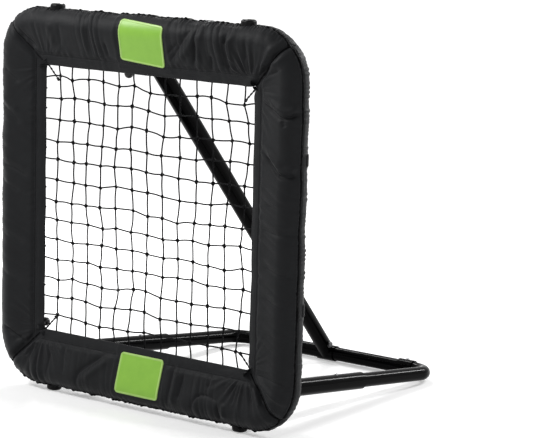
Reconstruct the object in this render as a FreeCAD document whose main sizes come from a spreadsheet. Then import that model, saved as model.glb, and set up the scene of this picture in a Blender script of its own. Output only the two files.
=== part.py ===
"""Square rebounder: a padded tube frame with a knotted net, tilted on a U-shaped stand by one telescoping strut.

Millimetres, +Z up. X runs along the crossbar, -Y is the side that is played against, and the origin lies on the
floor at the centre of the footprint. Every object is drawn about the frame's own mid-plane (y = 0) and its
Placement then carries it back by PLANE_Y. The sheet "Sizes" holds the driving dimensions.
"""
import FreeCAD, Part
import math
import os
import re
import Sketcher
from FreeCAD import Rotation, Vector

doc = FreeCAD.newDocument("rebounder")

# ---------------------------------------------------------------- driving dimensions

SIZES = {
    # padded frame
    "cover_size": 840,
    "edge_height": 10,
    "band_width": 125,
    "hem_depth": 8,
    "cover_thickness": 3,
    "cover_slack": 0.4,
    "tube_diameter": 38,
    "tube_wall": 1.5,
    "corner_radius": 77,
    "foam_diameter": 50,
    "spigot_length": 30,
    "spigot_screw_inset": 10,
    "frame_screw_diameter": 5,
    "patch_width": 122,
    "patch_height": 88,
    "patch_corner": 8,
    "patch_thickness": 1,
    "patch_edge_inset": 18,
    # net and its ties
    "net_inset": 112,
    "net_cells": 14,
    "net_cord": 3,
    "knot_chamfer": 2.5,
    "rope_diameter": 8,
    "rope_corner": 20,
    "bungee_diameter": 4,
    "ball_diameter": 20,
    "ball_place": 0.4,
    "tie_diameter": 6,
    "drawcord_diameter": 3,
    "back_edge_angle": 78,
    "strap_width": 25,
    "strap_thickness": 1.6,
    "strap_inset": 266,
    "strap_wrap_angle": 165,
    # feet
    "foot_inset": 152,
    "foot_width": 32,
    "foot_depth": 30,
    "foot_rounding": 13,
    "foot_sole_rounding": 6,
    "foot_screw_diameter": 5,
    # stand
    "leg_inset": 134,
    "leg_length": 662,
    "hinge_rise": 73,
    "hinge_back": 14,
    "leg_diameter": 38,
    "leg_wall": 1.5,
    "leg_swage_wall": 2.85,
    "leg_lower_wall": 1.5,
    "leg_upper_end": 383,
    "leg_overlap": 125,
    "leg_stub": 9,
    "leg_bend_radius": 50,
    "collar_wall": 2.85,
    "collar_length": 37,
    "collar_floor": 3,
    "leg_button_at": 292,
    # brackets and bolts
    "ear_thickness": 3,
    "saddle_thickness": 1.5,
    "eye_radius": 13,
    "bolt_diameter": 8,
    "bolt_head_radius": 7.5,
    "bolt_head_height": 5.3,
    "nut_height": 6.5,
    "bolt_proud": 2,
    "strut_offset": 14,
    "strut_drop": 43,
    "strut_back": 14,
    # strut
    "strut_diameter": 40,
    "strut_wall": 1.5,
    "sleeve_spigot_wall": 3,
    "strut_top_stub": 11,
    "strut_upper_from": 287,
    "strut_lower_end": 400,
    "strut_button_at": 312,
    "strut_travel": 226.1,
    "sleeve_wall": 2.4,
    "sleeve_length": 48,
    "sleeve_spigot_length": 55,
    "foot_bolt_at": 33,
    "foot_bolt_diameter": 6,
    "pivot_slot_play": 4.3,
    "pivot_slot_side_play": 0.8,
    "button_diameter": 8,
    "button_rise": 3.5,
    "button_flange_diameter": 11,
    "button_flange_thickness": 1.5,
    # end plugs
    "plug_flange": 1.5,
    "plug_bevel": 1,
    "plug_insert": 2,
    # fits
    "running_gap": 0.05,
    "sliding_gap": 0.1,
    "plug_gap": 0.15,
    "snug_gap": 0.3,
    "side_gap": 0.7,
    "cloth_gap": 1,
    # how far a cutting shape stands past what it cuts
    "cut_margin": 1,
}

sheet = doc.addObject("Spreadsheet::Sheet", "Sizes")
for row, (alias, size) in enumerate(SIZES.items(), start=1):
    sheet.set(f"A{row}", alias)
    sheet.set(f"B{row}", str(size))
    sheet.setAlias(f"B{row}", alias)
doc.recompute()


def bound(formula):
    """The formula with each alias written as a reference to the sheet."""
    return re.sub(r"[a-z_]{4,}", lambda m: "Sizes." + m[0] if m[0] in SIZES else m[0], str(formula))


def value(formula):
    """A formula's number, for the few shapes that are made by Part's own functions."""
    found = sheet.evalExpression(bound(formula))
    return float(getattr(found, "Value", found))


# ---------------------------------------------------------------- places worked out from them

COVER_IN = "(foam_diameter / 2 + bungee_diameter + 2 * snug_gap + cover_slack)"
COVER_OUT = f"({COVER_IN} + cover_thickness)"
MIDDLE_Z = "(edge_height + cover_size / 2)"
TUBE_HALF = f"(cover_size / 2 - {COVER_OUT})"
STRAIGHT_HALF = f"({TUBE_HALF} - corner_radius)"
TUBE_TOP_Z = f"({MIDDLE_Z} + {TUBE_HALF})"
TUBE_BOTTOM_Z = f"({MIDDLE_Z} - {TUBE_HALF})"
NET_HALF = "(cover_size / 2 - net_inset)"
NET_PITCH = f"(2 * {NET_HALF} / net_cells)"
TUBE_BORE = "(tube_diameter - 2 * tube_wall)"

FOOT_X = "(cover_size / 2 - foot_inset)"
LEG_X = "(cover_size / 2 - leg_inset)"
LEG_BORE = "(leg_diameter - 2 * leg_swage_wall)"
LEG_LOWER = f"({LEG_BORE} - 2 * plug_gap)"
LEG_UPPER_BORE = "(leg_diameter - 2 * leg_wall)"
COLLAR = f"({LEG_BORE} + 2 * collar_wall)"
HINGE_Z = "(edge_height + hinge_rise)"
CROSSBAR_Z = f"({COLLAR} / 2)"
LEG_RUN = f"sqrt(leg_length ^ 2 - ({HINGE_Z} - {CROSSBAR_Z}) ^ 2)"
LEG_SLOPE = f"asin(({HINGE_Z} - {CROSSBAR_Z}) / leg_length)"
CROSSBAR_Y = f"(hinge_back + {LEG_RUN})"
COLLAR_MOUTH = f"({LEG_X} - leg_bend_radius - cloth_gap)"
CROSSBAR_BUTTON_X = f"({COLLAR_MOUTH} - collar_length / 2)"

STRUT_X = "(-strut_offset)"
STRUT_Z = f"({TUBE_TOP_Z} - strut_drop)"
STRUT_RUN = f"({CROSSBAR_Y} - strut_back)"
STRUT_RISE = f"({STRUT_Z} - {CROSSBAR_Z})"
STRUT_LENGTH = f"sqrt({STRUT_RUN} ^ 2 + {STRUT_RISE} ^ 2)"
STRUT_LEAN = f"atan({STRUT_RUN} / {STRUT_RISE})"
STRUT_BORE = "(strut_diameter - 2 * strut_wall)"
STRUT_INNER = f"({STRUT_BORE} - 2 * sliding_gap)"
STRUT_INNER_BORE = f"({STRUT_INNER} - 2 * strut_wall)"
SLEEVE = f"({LEG_LOWER} + 2 * sliding_gap + 2 * sleeve_wall)"

PLANE_Y = f"(({COVER_OUT} + patch_thickness - {CROSSBAR_Y} - {COLLAR} / 2) / 2)"

# ---------------------------------------------------------------- making and placing

PIECES = []


def place(thing, at=(0, 0, 0), axis=(1, 0, 0), angle="0"):
    """Bind an object's Placement: a point and a turn about an axis, each a formula."""
    point = "; ".join(bound(c) for c in at)
    turn = "; ".join(str(c) for c in axis)
    thing.setExpression("Placement", f"placement(vector({point}); rotation(vector({turn}); {bound(angle)}))")
    return thing


def keep(thing, label, at=(0, 0, 0), axis=(1, 0, 0), angle="0"):
    """Name a finished piece and carry it from the frame's mid-plane to its place in the part."""
    thing.Label = label
    place(thing, (at[0], f"{at[1]} + {PLANE_Y}", at[2]), axis, angle)
    PIECES.append(thing)
    return thing


def keep_side(thing, label, turn):
    """Keep a piece of the frame that is drawn for the top side about the frame's middle, turned to its own side."""
    return keep(thing, label, ("0", "0", MIDDLE_Z), (0, 1, 0), str(90 * turn))


AIM = {"X": ((0, 1, 0), "90"), "Y": ((1, 0, 0), "-90"), "Z": ((1, 0, 0), "0")}


def rod(diameter, length, at=(0, 0, 0), along="Z", name="rod"):
    """A cylinder that starts at a point and runs along +X, +Y or +Z."""
    cylinder = doc.addObject("Part::Cylinder", name)
    cylinder.setExpression("Radius", bound(f"({diameter}) / 2"))
    cylinder.setExpression("Height", bound(length))
    return place(cylinder, at, *AIM[along])


def middle_rod(diameter, length, at=(0, 0, 0), along="X", name="rod"):
    """A cylinder whose middle is at a point."""
    start = list(at)
    index = "XYZ".index(along)
    start[index] = f"{at[index]} - ({length}) / 2"
    return rod(diameter, length, start, along, name)


def block(size, middle, name="block"):
    """A box given by its three sides and its middle."""
    box = doc.addObject("Part::Box", name)
    for prop, side in zip(("Length", "Width", "Height"), size):
        box.setExpression(prop, bound(side))
    return place(box, [f"{c} - ({side}) / 2" for c, side in zip(middle, size)])


def hexagon(radius, height, at, along="X", name="hexagon"):
    prism = doc.addObject("Part::Prism", name)
    prism.Polygon = 6
    prism.setExpression("Circumradius", bound(radius))
    prism.setExpression("Height", bound(height))
    return place(prism, at, *AIM[along])


def fuse(shapes, name="fused"):
    joined = doc.addObject("Part::MultiFuse", name)
    joined.Shapes = shapes
    return joined


def cut(base, tools, name="cut"):
    """The base less one tool, or less several that are fused first."""
    result = doc.addObject("Part::Cut", name)
    result.Base = base
    result.Tool = tools[0] if len(tools) == 1 else fuse(tools, name + "_tools")
    return result


def group(shapes, name="group"):
    compound = doc.addObject("Part::Compound", name)
    compound.Links = shapes
    return compound


def mirror(source, label):
    """The other hand of a piece, on the left of the part."""
    twin = doc.addObject("Part::Mirroring", label)
    twin.Source = source
    twin.Normal = Vector(1, 0, 0)
    twin.Label = label
    PIECES.append(twin)
    return twin


def feature(shape, name="shape"):
    """An object whose shape is worked out below from the sheet's values."""
    thing = doc.addObject("Part::Feature", name)
    thing.Shape = shape
    return thing


def plane_of(body, role):
    return next(f for f in body.Origin.OriginFeatures if f.Role == role)


def new_sketch(body, role, name):
    sketch = body.newObject("Sketcher::SketchObject", name)
    sketch.AttachmentSupport = [(plane_of(body, role), "")]
    sketch.MapMode = "FlatFace"
    return sketch


def add_circle(sketch, diameter, name):
    """A circle about the sketch's origin with its diameter bound to the sheet."""
    circle = sketch.addGeometry(Part.Circle(Vector(0, 0, 0), Vector(0, 0, 1), value(diameter) / 2), False)
    sketch.addConstraint(Sketcher.Constraint("Coincident", circle, 3, -1, 1))
    size = sketch.addConstraint(Sketcher.Constraint("Diameter", circle, value(diameter)))
    sketch.renameConstraint(size, name)
    sketch.setExpression("Constraints." + name, bound(diameter))


def tube_body(name, outer, bore, length, middle=False):
    """A round tube along +Z: a padded ring, either from the origin or about it."""
    body = doc.addObject("PartDesign::Body", name)
    ring = new_sketch(body, "XY_Plane", name + "_ring")
    add_circle(ring, outer, "outer")
    add_circle(ring, bore, "bore")
    pad = body.newObject("PartDesign::Pad", name + "_pad")
    pad.Profile = ring
    pad.setExpression("Length", bound(length))
    pad.Midplane = middle
    return body


# ---------------------------------------------------------------- tube frame

SIDES = ("top", "right", "bottom", "left")


def frame_tubes():
    """Four straight tubes with a screw hole near each end, on the outer side."""
    length = f"2 * {STRAIGHT_HALF}"
    for turn, side in enumerate(SIDES):
        tube = tube_body("tube_" + side, "tube_diameter", TUBE_BORE, length, middle=True)
        place(tube, (0, 0, 0), (0, 1, 0), "90")
        holes = [
            rod("frame_screw_diameter", "tube_diameter",
                (f"{sign} * ({STRAIGHT_HALF} - spigot_screw_inset)", "0", "0"))
            for sign in (-1, 1)
        ]
        lying = cut(tube, holes, "drilled_" + side)
        place(lying, ("0", "0", TUBE_HALF))
        keep_side(group([lying], "frame_" + side), "frame_tube_" + side, turn)


def spigot():
    """A corner tube's reduced end, along X past the top of its bend, with a screw hole on the outer side."""
    start = ("-spigot_length", "corner_radius", "0")
    length = "spigot_length + tube_wall"
    sleeve = rod(f"{TUBE_BORE} - 2 * plug_gap", length, start, "X")
    lip = rod(f"{TUBE_BORE} + tube_wall", "tube_wall", ("0", "corner_radius", "0"), "X")
    bore = rod(f"{TUBE_BORE} - 2 * plug_gap - 2 * tube_wall", length, start, "X")
    hole = rod("frame_screw_diameter", "tube_diameter", ("-spigot_screw_inset", "corner_radius", "0"), "Y")
    return cut(fuse([sleeve, lip]), [bore, hole], "spigot")


def frame_corners():
    """Bent corner tubes whose two reduced spigots plug into the straight tubes."""
    names = ("top_right", "bottom_right", "bottom_left", "top_left")
    for turn, name in enumerate(names):
        ring = doc.addObject("Part::Torus", "bend_" + name)
        hollow = doc.addObject("Part::Torus", "bend_bore_" + name)
        for torus, diameter in ((ring, "tube_diameter"), (hollow, TUBE_BORE)):
            torus.setExpression("Radius1", bound("corner_radius"))
            torus.setExpression("Radius2", bound(f"{diameter} / 2"))
            torus.Angle3 = 90
        bend = cut(ring, [hollow], "bend_tube_" + name)
        other_end = place(spigot(), axis=(1, 1, 0), angle="180")
        whole = fuse([bend, spigot(), other_end], "elbow_" + name)
        place(whole, (STRAIGHT_HALF, "0", STRAIGHT_HALF), (1, 0, 0), "90")
        keep_side(group([whole], "corner_" + name), "frame_corner_" + name, turn)


def frame_screws():
    """Pan-head screws through each spigot joint from the outer side of the frame."""
    screws = []
    for turn in range(4):
        for sign in (-1, 1):
            across = f"{sign} * ({STRAIGHT_HALF} - spigot_screw_inset)"
            outside = f"({TUBE_HALF} + tube_diameter / 2)"
            depth = "(3 * tube_wall + plug_gap)"
            shank = rod("frame_screw_diameter - 2 * running_gap", depth, (across, "0", f"{outside} - {depth}"))
            head = rod("2 * frame_screw_diameter", "frame_screw_diameter / 2", (across, "0", outside))
            screws.append(place(fuse([shank, head]), (0, 0, 0), (0, 1, 0), str(90 * turn)))
    keep(group(screws), "frame_screws", ("0", "0", MIDDLE_Z))


# ---------------------------------------------------------------- foam

def foam_sleeve(start, end, turn, wells):
    """A foam tube round a straight tube between two distances from the middle of its side."""
    length = f"({end}) - ({start})"
    outer = rod("foam_diameter", length, (start, "0", TUBE_HALF), "X")
    inner = rod("tube_diameter + 2 * plug_gap", length, (start, "0", TUBE_HALF), "X")
    heads = [rod("3 * frame_screw_diameter", "foam_diameter", (across, "0", TUBE_HALF)) for across in wells]
    return place(group([cut(outer, [inner] + heads)]), (0, 0, 0), (0, 1, 0), str(90 * turn))


def foam():
    """Sleeves that stop short of the feet and brackets, and quarter rings round the corners."""
    beside_foot = f"{FOOT_X} - foot_width / 2 - cloth_gap"
    right_of_bracket = f"{STRUT_X} + {EAR_HALF_STRUT} + cloth_gap"
    left_of_bracket = f"{STRUT_X} - {EAR_HALF_STRUT} - cloth_gap"
    full_side = ((f"-{STRAIGHT_HALF}", STRAIGHT_HALF),)
    spans = {
        "top": ((right_of_bracket, beside_foot), (f"-({beside_foot})", left_of_bracket)),
        "right": full_side,
        "bottom": ((f"-({beside_foot})", beside_foot),),
        "left": full_side,
    }
    screws_at = [f"{sign} * ({STRAIGHT_HALF} - spigot_screw_inset)" for sign in (-1, 1)]
    for turn, side in enumerate(SIDES):
        wells = screws_at if spans[side] == full_side else []
        sleeves = [foam_sleeve(start, end, turn, wells) for start, end in spans[side]]
        keep(group(sleeves), "foam_" + side, ("0", "0", MIDDLE_Z))
    corners = []
    for turn in range(4):
        ring = doc.addObject("Part::Torus", "foam_ring")
        hollow = doc.addObject("Part::Torus", "foam_bore")
        for torus, diameter in ((ring, "foam_diameter"), (hollow, "(tube_diameter + 2 * plug_gap)")):
            torus.setExpression("Radius1", bound("corner_radius"))
            torus.setExpression("Radius2", bound(f"{diameter} / 2"))
            torus.Angle3 = 90
        lying = place(cut(ring, [hollow]), (STRAIGHT_HALF, "0", STRAIGHT_HALF), (1, 0, 0), "90")
        corners.append(place(group([lying]), (0, 0, 0), (0, 1, 0), str(90 * turn)))
    keep(group(corners), "foam_corners", ("0", "0", MIDDLE_Z))


# ---------------------------------------------------------------- cover, patches, drawcord and straps

def section_point(radius, degrees):
    """A point of the cover's section, as (height above the tube's axis outwards, y).

    The angle is measured about the tube from the side that faces the net, towards the back.
    """
    a = math.radians(degrees)
    return -radius * math.cos(a), radius * math.sin(a)


def leave_angle():
    """Where the front panel leaves the tube's round, on its straight way to the hem."""
    radius = value(COVER_OUT)
    across = value(f"band_width - {COVER_OUT}")
    down = value("hem_depth")
    return -math.degrees(math.atan2(down, across) + math.acos(radius / math.hypot(across, down)))


def section_face(radius_in, radius_out, back_angle, reach):
    """The face between two radii: round the tube from the back edge to the front, then straight towards the hem.

    reach is how far from the tube's axis the straight part ends.
    """
    leave = leave_angle()
    half = value(TUBE_HALF)
    slope = math.radians(leave + 90)

    def at(radius, degrees):
        up, y = section_point(radius, degrees)
        return Vector(0, y, half + up)

    def end(radius):
        start = at(radius, leave)
        run = reach + start.z - half
        return Vector(0, start.y + run * math.tan(slope), half - reach)

    turn = 360 + leave
    middle = (back_angle + turn) / 2
    edges = [
        Part.Arc(at(radius_out, back_angle), at(radius_out, middle), at(radius_out, turn)).toShape(),
        Part.LineSegment(at(radius_out, turn), end(radius_out)).toShape(),
        Part.LineSegment(end(radius_out), end(radius_in)).toShape(),
        Part.LineSegment(end(radius_in), at(radius_in, turn)).toShape(),
        Part.Arc(at(radius_in, turn), at(radius_in, middle), at(radius_in, back_angle)).toShape(),
        Part.LineSegment(at(radius_in, back_angle), at(radius_out, back_angle)).toShape(),
    ]
    return Part.Face(Part.Wire(Part.sortEdges(edges)[0]))


def cover_length():
    """One side of the cover: straight in the middle, turned by 45 degrees round each corner, mitred at the hem."""
    radii = value(COVER_IN), value(COVER_OUT)
    back = value("back_edge_angle")
    half = value(STRAIGHT_HALF)
    to_hem = value(f"band_width - {COVER_OUT}")
    to_corner = value("corner_radius")
    straight = section_face(*radii, back, to_hem)
    straight.translate(Vector(-half, 0, 0))
    whole = straight.extrude(Vector(2 * half, 0, 0))
    depth = 4 * radii[1]
    hem = half - 2 * (to_hem - to_corner)
    far = half + to_hem
    for sign in (-1, 1):
        corners = [(half, half), (far, half), (far, hem), (hem, hem)]
        points = [Vector(sign * x, -depth / 2, z) for x, z in corners]
        mitre = Part.Face(Part.makePolygon(points + points[:1])).extrude(Vector(0, depth, 0))
        whole = whole.cut(mitre)
    for sign in (-1, 1):
        turned = section_face(*radii, back, to_corner)
        turned.translate(Vector(sign * half, 0, 0))
        whole = whole.fuse(turned.revolve(Vector(sign * half, 0, half), Vector(0, 1, 0), sign * 45))
    return whole.removeSplitter()


def foot_window(sign):
    """The window in the cover that a foot passes through."""
    middle = (f"{sign} * {FOOT_X}", "0", "cover_size / 2")
    return block(("foot_width + 2 * snug_gap", "foot_depth + 2 * snug_gap", f"2 * {COVER_OUT}"), middle)


def back_notch(across, half_width):
    """The notch in the cover's back edge beside a bracket."""
    size = (f"2 * ({half_width} + cloth_gap)", f"2 * {COVER_OUT}", COVER_OUT)
    middle = (across, COVER_OUT, f"{TUBE_HALF} - {COVER_OUT} / 2 + eye_radius / 2")
    return block(size, middle)


def covers():
    """Every length is drawn for the top side and then turned to its own."""
    shape = cover_length()
    notches = {
        "top": ((STRUT_X, EAR_HALF_STRUT),),
        "bottom": ((f"-{LEG_X}", EAR_HALF_LEG), (LEG_X, EAR_HALF_LEG)),
    }
    for turn, side in enumerate(SIDES):
        length = feature(shape, "cloth_" + side)
        if side in notches:
            tools = [foot_window(-1), foot_window(1)]
            tools += [back_notch(across, half_width) for across, half_width in notches[side]]
            length = cut(length, tools, "windows_" + side)
        keep_side(length, "cover_" + side, turn)


def patches():
    """Rubber patches that follow the cover's front, one at the middle of the top band and one of the bottom."""
    inner = value(COVER_OUT)
    outer = value(f"{COVER_OUT} + patch_thickness")
    inset = value("patch_edge_inset")
    reach = inset + value("patch_height") - inner
    back_angle = 180 + math.degrees(math.acos((inner - inset) / inner))
    width = value("patch_width")
    face = section_face(inner, outer, back_angle, reach)
    face.translate(Vector(-width / 2, 0, 0))
    plate = face.extrude(Vector(width, 0, 0))
    box = plate.BoundBox
    frame = Part.makeBox(width, box.YLength + 2, box.ZLength, Vector(box.XMin, box.YMin - 1, box.ZMin))
    upright = [edge for edge in frame.Edges if abs(edge.tangentAt(edge.FirstParameter).y) > 0.9]
    plate = plate.common(frame.makeFillet(value("patch_corner"), upright))
    for turn, side in ((0, "top"), (2, "bottom")):
        keep_side(feature(plate), "patch_" + side, turn)


def rounded_square(half, radius, y):
    """A closed square path with round corners about the frame's middle, at one depth."""
    inner = half - radius
    nook = inner + radius / math.sqrt(2)
    edges = []
    for turn in range(4):
        spin = Rotation(Vector(0, 1, 0), 90 * turn)
        start, bend, middle, end = (
            spin.multVec(Vector(x, y, z))
            for x, z in ((-inner, half), (inner, half), (nook, nook), (half, inner))
        )
        edges.append(Part.LineSegment(start, bend).toShape())
        edges.append(Part.Arc(bend, middle, end).toShape())
    return Part.Wire(edges)


def cord_along(path, diameter):
    """A round cord swept along a path."""
    start = path.Edges[0].valueAt(path.Edges[0].FirstParameter)
    ahead = path.Edges[0].tangentAt(path.Edges[0].FirstParameter)
    ring = Part.Wire(Part.makeCircle(diameter / 2, start, ahead))
    return path.makePipeShell([ring], True, True)


def drawcord():
    """The elastic that gathers the cover's back edge, just past the edge itself."""
    thick = value("drawcord_diameter")
    radius = value(f"{COVER_OUT} - drawcord_diameter / 2")
    behind_edge = math.degrees((thick / 2 + value("2 * sliding_gap")) / radius)
    inward, y = section_point(radius, value("back_edge_angle") - behind_edge)
    path = rounded_square(value(TUBE_HALF) + inward, value("corner_radius") + inward, y)
    keep(feature(cord_along(path, thick)), "cover_drawcord", ("0", "0", MIDDLE_Z))


def around(middle, radius, degrees):
    """A point round an axis that lies a distance out from the frame's middle."""
    up, y = section_point(radius, degrees)
    return Vector(0, y, middle + up)


def tangent_angle(big, small):
    """Where the common tangents of the two rounds, about the tube and about the border rope, leave them."""
    return math.degrees(math.acos((big - small) / value(f"{TUBE_HALF} - {NET_HALF}")))


def hook_path(big, small, wrap_angle, closed):
    """The way round the tube and the net's border rope, in the plane across a side.

    A big round about the tube, a small one about the rope and their two common tangents. When it isn't closed it
    starts at wrap_angle on the tube's back and ends on the front of the rope.
    """
    tube_z = value(TUBE_HALF)
    rope_z = value(NET_HALF)
    lean = tangent_angle(big, small)
    back = Part.LineSegment(around(tube_z, big, lean), around(rope_z, small, lean)).toShape()
    nose = Part.Arc(around(rope_z, small, lean), around(rope_z, small, 0), around(rope_z, small, -lean)).toShape()
    if not closed:
        middle = (wrap_angle + lean) / 2
        start = Part.Arc(around(tube_z, big, wrap_angle), around(tube_z, big, middle), around(tube_z, big, lean))
        return Part.Wire([start.toShape(), back, nose])
    front = Part.LineSegment(around(rope_z, small, -lean), around(tube_z, big, -lean)).toShape()
    whole = Part.Arc(around(tube_z, big, -lean), around(tube_z, big, 180), around(tube_z, big, lean)).toShape()
    return Part.Wire([back, nose, front, whole])


def straps():
    """Webbing straps, two to a side, that hold the cover's back down and hook over the border rope."""
    thick = value("strap_thickness")
    width = value("strap_width")
    big = value(f"{COVER_OUT} + sliding_gap") + thick / 2
    small = value("rope_diameter / 2 + sliding_gap") + thick / 2
    path = hook_path(big, small, value("strap_wrap_angle"), closed=False)
    band = path.makeOffset2D(thick / 2, 0, False, True)
    inner = path.makeOffset2D(-thick / 2, 0, False, True)
    ends = [Part.makeLine(band.OrderedVertexes[i].Point, inner.OrderedVertexes[i].Point) for i in (0, -1)]
    face = Part.Face(Part.Wire(Part.sortEdges(band.Edges + inner.Edges + ends)[0]))
    strap = face.extrude(Vector(width, 0, 0))
    shapes = []
    for turn in range(4):
        for sign in (-1, 1):
            copy = strap.copy()
            copy.translate(Vector(sign * value("cover_size / 2 - strap_inset") - width / 2, 0, 0))
            copy.rotate(Vector(0, 0, 0), Vector(0, 1, 0), 90 * turn)
            shapes.append(copy)
    keep(feature(Part.makeCompound(shapes)), "cover_straps", ("0", "0", MIDDLE_Z))


# ---------------------------------------------------------------- net and its ties

def net():
    """Square mesh of cords. The chamfered corners of its cells are the knots."""
    pitch = value(NET_PITCH)
    half_cord = value("net_cord") / 2
    chamfer = value("knot_chamfer")
    cells = round(value("net_cells"))
    last = (cells // 2 - 1) * pitch
    tip = value(f"{NET_HALF} - rope_diameter / 2 - sliding_gap")
    edge = last + half_cord
    depth = value("net_cord")

    outline = []
    for turn in range(4):
        spin = Rotation(Vector(0, 1, 0), 90 * turn)
        side = []
        for k in range(-(cells // 2 - 1), cells // 2):
            left = k * pitch - half_cord
            right = k * pitch + half_cord
            if k * pitch > -last:
                side.append((left - chamfer, edge))
            side += [(left, edge + chamfer), (left, tip), (right, tip), (right, edge + chamfer)]
            if k * pitch < last:
                side.append((right + chamfer, edge))
        outline += [spin.multVec(Vector(x, -depth / 2, z)) for x, z in side]
    faces = [Part.Wire(Part.makePolygon(outline + outline[:1]))]

    low = half_cord
    high = pitch - half_cord
    cell = [(low + chamfer, low), (high - chamfer, low), (high, low + chamfer), (high, high - chamfer),
            (high - chamfer, high), (low + chamfer, high), (low, high - chamfer), (low, low + chamfer)]
    for i in range(cells - 2):
        for j in range(cells - 2):
            corner = Vector(i * pitch - last, -depth / 2, j * pitch - last)
            points = [corner + Vector(x, 0, z) for x, z in cell]
            faces.append(Part.Wire(Part.makePolygon(points + points[:1])))
    grid = Part.Face(faces).extrude(Vector(0, depth, 0))
    keep(feature(grid), "net", ("0", "0", MIDDLE_Z))


def border_rope():
    path = rounded_square(value(NET_HALF), value("rope_corner"), 0)
    keep(feature(cord_along(path, value("rope_diameter"))), "net_rope", ("0", "0", MIDDLE_Z))


# the cells of the net that a bungee goes through, counted along each side from its middle
BUNGEE_CELLS = {
    "top": (-5, -3, -2, 1, 2, 4),
    "right": (-6, -5, -3, -1, 0, 2, 4, 5),
    "bottom": (-5, -3, -1, 0, 2, 4),
    "left": (-7, -5, -3, -1, 0, 2, 4, 5),
}
# balls that have slid down: past 1 they hang round the border rope
LOW_BALLS = {("top", -2): 1.6, ("left", -7): 0.8}


def ball_centre(big, small, out, place):
    """Where a ball sits behind its loop: 0 is beside the tube, 1 beside the border rope and 2 right below that."""
    tube_z = value(TUBE_HALF)
    rope_z = value(NET_HALF)
    lean = tangent_angle(big, small)
    if place > 1:
        return around(rope_z, small + out, lean * (2 - place))
    start = around(tube_z, big + out, lean)
    end = around(rope_z, small + out, lean)
    return start + (end - start) * place


def bungees():
    """Ball bungees round the foam and the border rope, each with its ball on the back."""
    thick = value("bungee_diameter")
    gap = value("snug_gap")
    big = value("foam_diameter") / 2 + gap + thick / 2
    small = value("rope_diameter") / 2 + gap + thick / 2
    loop = cord_along(hook_path(big, small, 0, closed=True), thick)
    ball_radius = value("ball_diameter") / 2
    out = thick / 2 + gap + ball_radius
    pitch = value(NET_PITCH)
    loops = []
    balls = []
    for turn, side in enumerate(SIDES):
        for k in BUNGEE_CELLS[side]:
            place_on_run = LOW_BALLS.get((side, k), value("ball_place"))
            ball = Part.makeSphere(ball_radius, ball_centre(big, small, out, place_on_run))
            for source, found in ((loop.copy(), loops), (ball, balls)):
                source.translate(Vector((k + 0.5) * pitch, 0, 0))
                source.rotate(Vector(0, 0, 0), Vector(0, 1, 0), 90 * turn)
                found.append(source)
    keep(feature(Part.makeCompound(loops)), "bungee_loops", ("0", "0", MIDDLE_Z))
    keep(feature(Part.makeCompound(balls)), "bungee_balls", ("0", "0", MIDDLE_Z))


def corner_ties():
    """Thick cords that hold the net's corner knots to the corners of the border rope."""
    nook = f"({NET_HALF} - rope_corner + rope_corner / sqrt(2))"
    knot = f"({NET_HALF} - {NET_PITCH} + net_cord / 2)"
    length = f"({nook} - {knot}) * sqrt(2) - rope_diameter / 2 - 2 * snug_gap - tie_diameter / 2"
    ties = []
    for turn in range(4):
        tie = rod("tie_diameter", length, (0, 0, f"{knot} * sqrt(2) + tie_diameter / 2 + snug_gap"))
        ties.append(place(group([tie]), (0, 0, 0), (0, 1, 0), str(45 + 90 * turn)))
    keep(group(ties), "corner_ties", ("0", "0", MIDDLE_Z))


# ---------------------------------------------------------------- feet

def foot():
    """Moulded foot that hugs the tube, passes through the cover and stands past its edge. Drawn at the bottom."""
    body = doc.addObject("PartDesign::Body", "foot")
    base = new_sketch(body, "XY_Plane", "foot_base")
    half_x = value("foot_width") / 2
    half_y = value("foot_depth") / 2
    corners = [Vector(x * half_x, y * half_y, 0) for x, y in ((-1, -1), (1, -1), (1, 1), (-1, 1))]
    for i in range(4):
        base.addGeometry(Part.LineSegment(corners[i], corners[(i + 1) % 4]), False)
    for i in range(4):
        base.addConstraint(Sketcher.Constraint("Coincident", i, 2, (i + 1) % 4, 1))
        base.addConstraint(Sketcher.Constraint("Horizontal" if i % 2 == 0 else "Vertical", i))
    base.addConstraint(Sketcher.Constraint("Symmetric", 0, 1, 2, 1, -1, 1))
    for line, kind, name, size in ((0, "DistanceX", "wide", "foot_width"), (1, "DistanceY", "deep", "foot_depth")):
        number = base.addConstraint(Sketcher.Constraint(kind, line, 1, line, 2, value(size)))
        base.renameConstraint(number, name)
        base.setExpression("Constraints." + name, bound(size))
    pad = body.newObject("PartDesign::Pad", "foot_pad")
    pad.Profile = base
    pad.setExpression("Length", bound(TUBE_BOTTOM_Z))
    doc.recompute()
    box = pad.Shape.BoundBox
    upright = [
        f"Edge{i + 1}" for i, edge in enumerate(pad.Shape.Edges)
        if abs(edge.tangentAt(edge.FirstParameter).z) > 0.9
    ]
    rounds = body.newObject("PartDesign::Fillet", "foot_rounds")
    rounds.Base = (pad, upright)
    rounds.setExpression("Radius", bound("foot_rounding"))
    doc.recompute()
    sole = [
        f"Edge{i + 1}" for i, edge in enumerate(rounds.Shape.Edges)
        if edge.BoundBox.ZMax < box.ZMin + 0.01
    ]
    soft = body.newObject("PartDesign::Fillet", "foot_sole")
    soft.Base = (rounds, sole)
    soft.setExpression("Radius", bound("foot_sole_rounding"))
    body.Tip = soft
    return body


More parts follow.
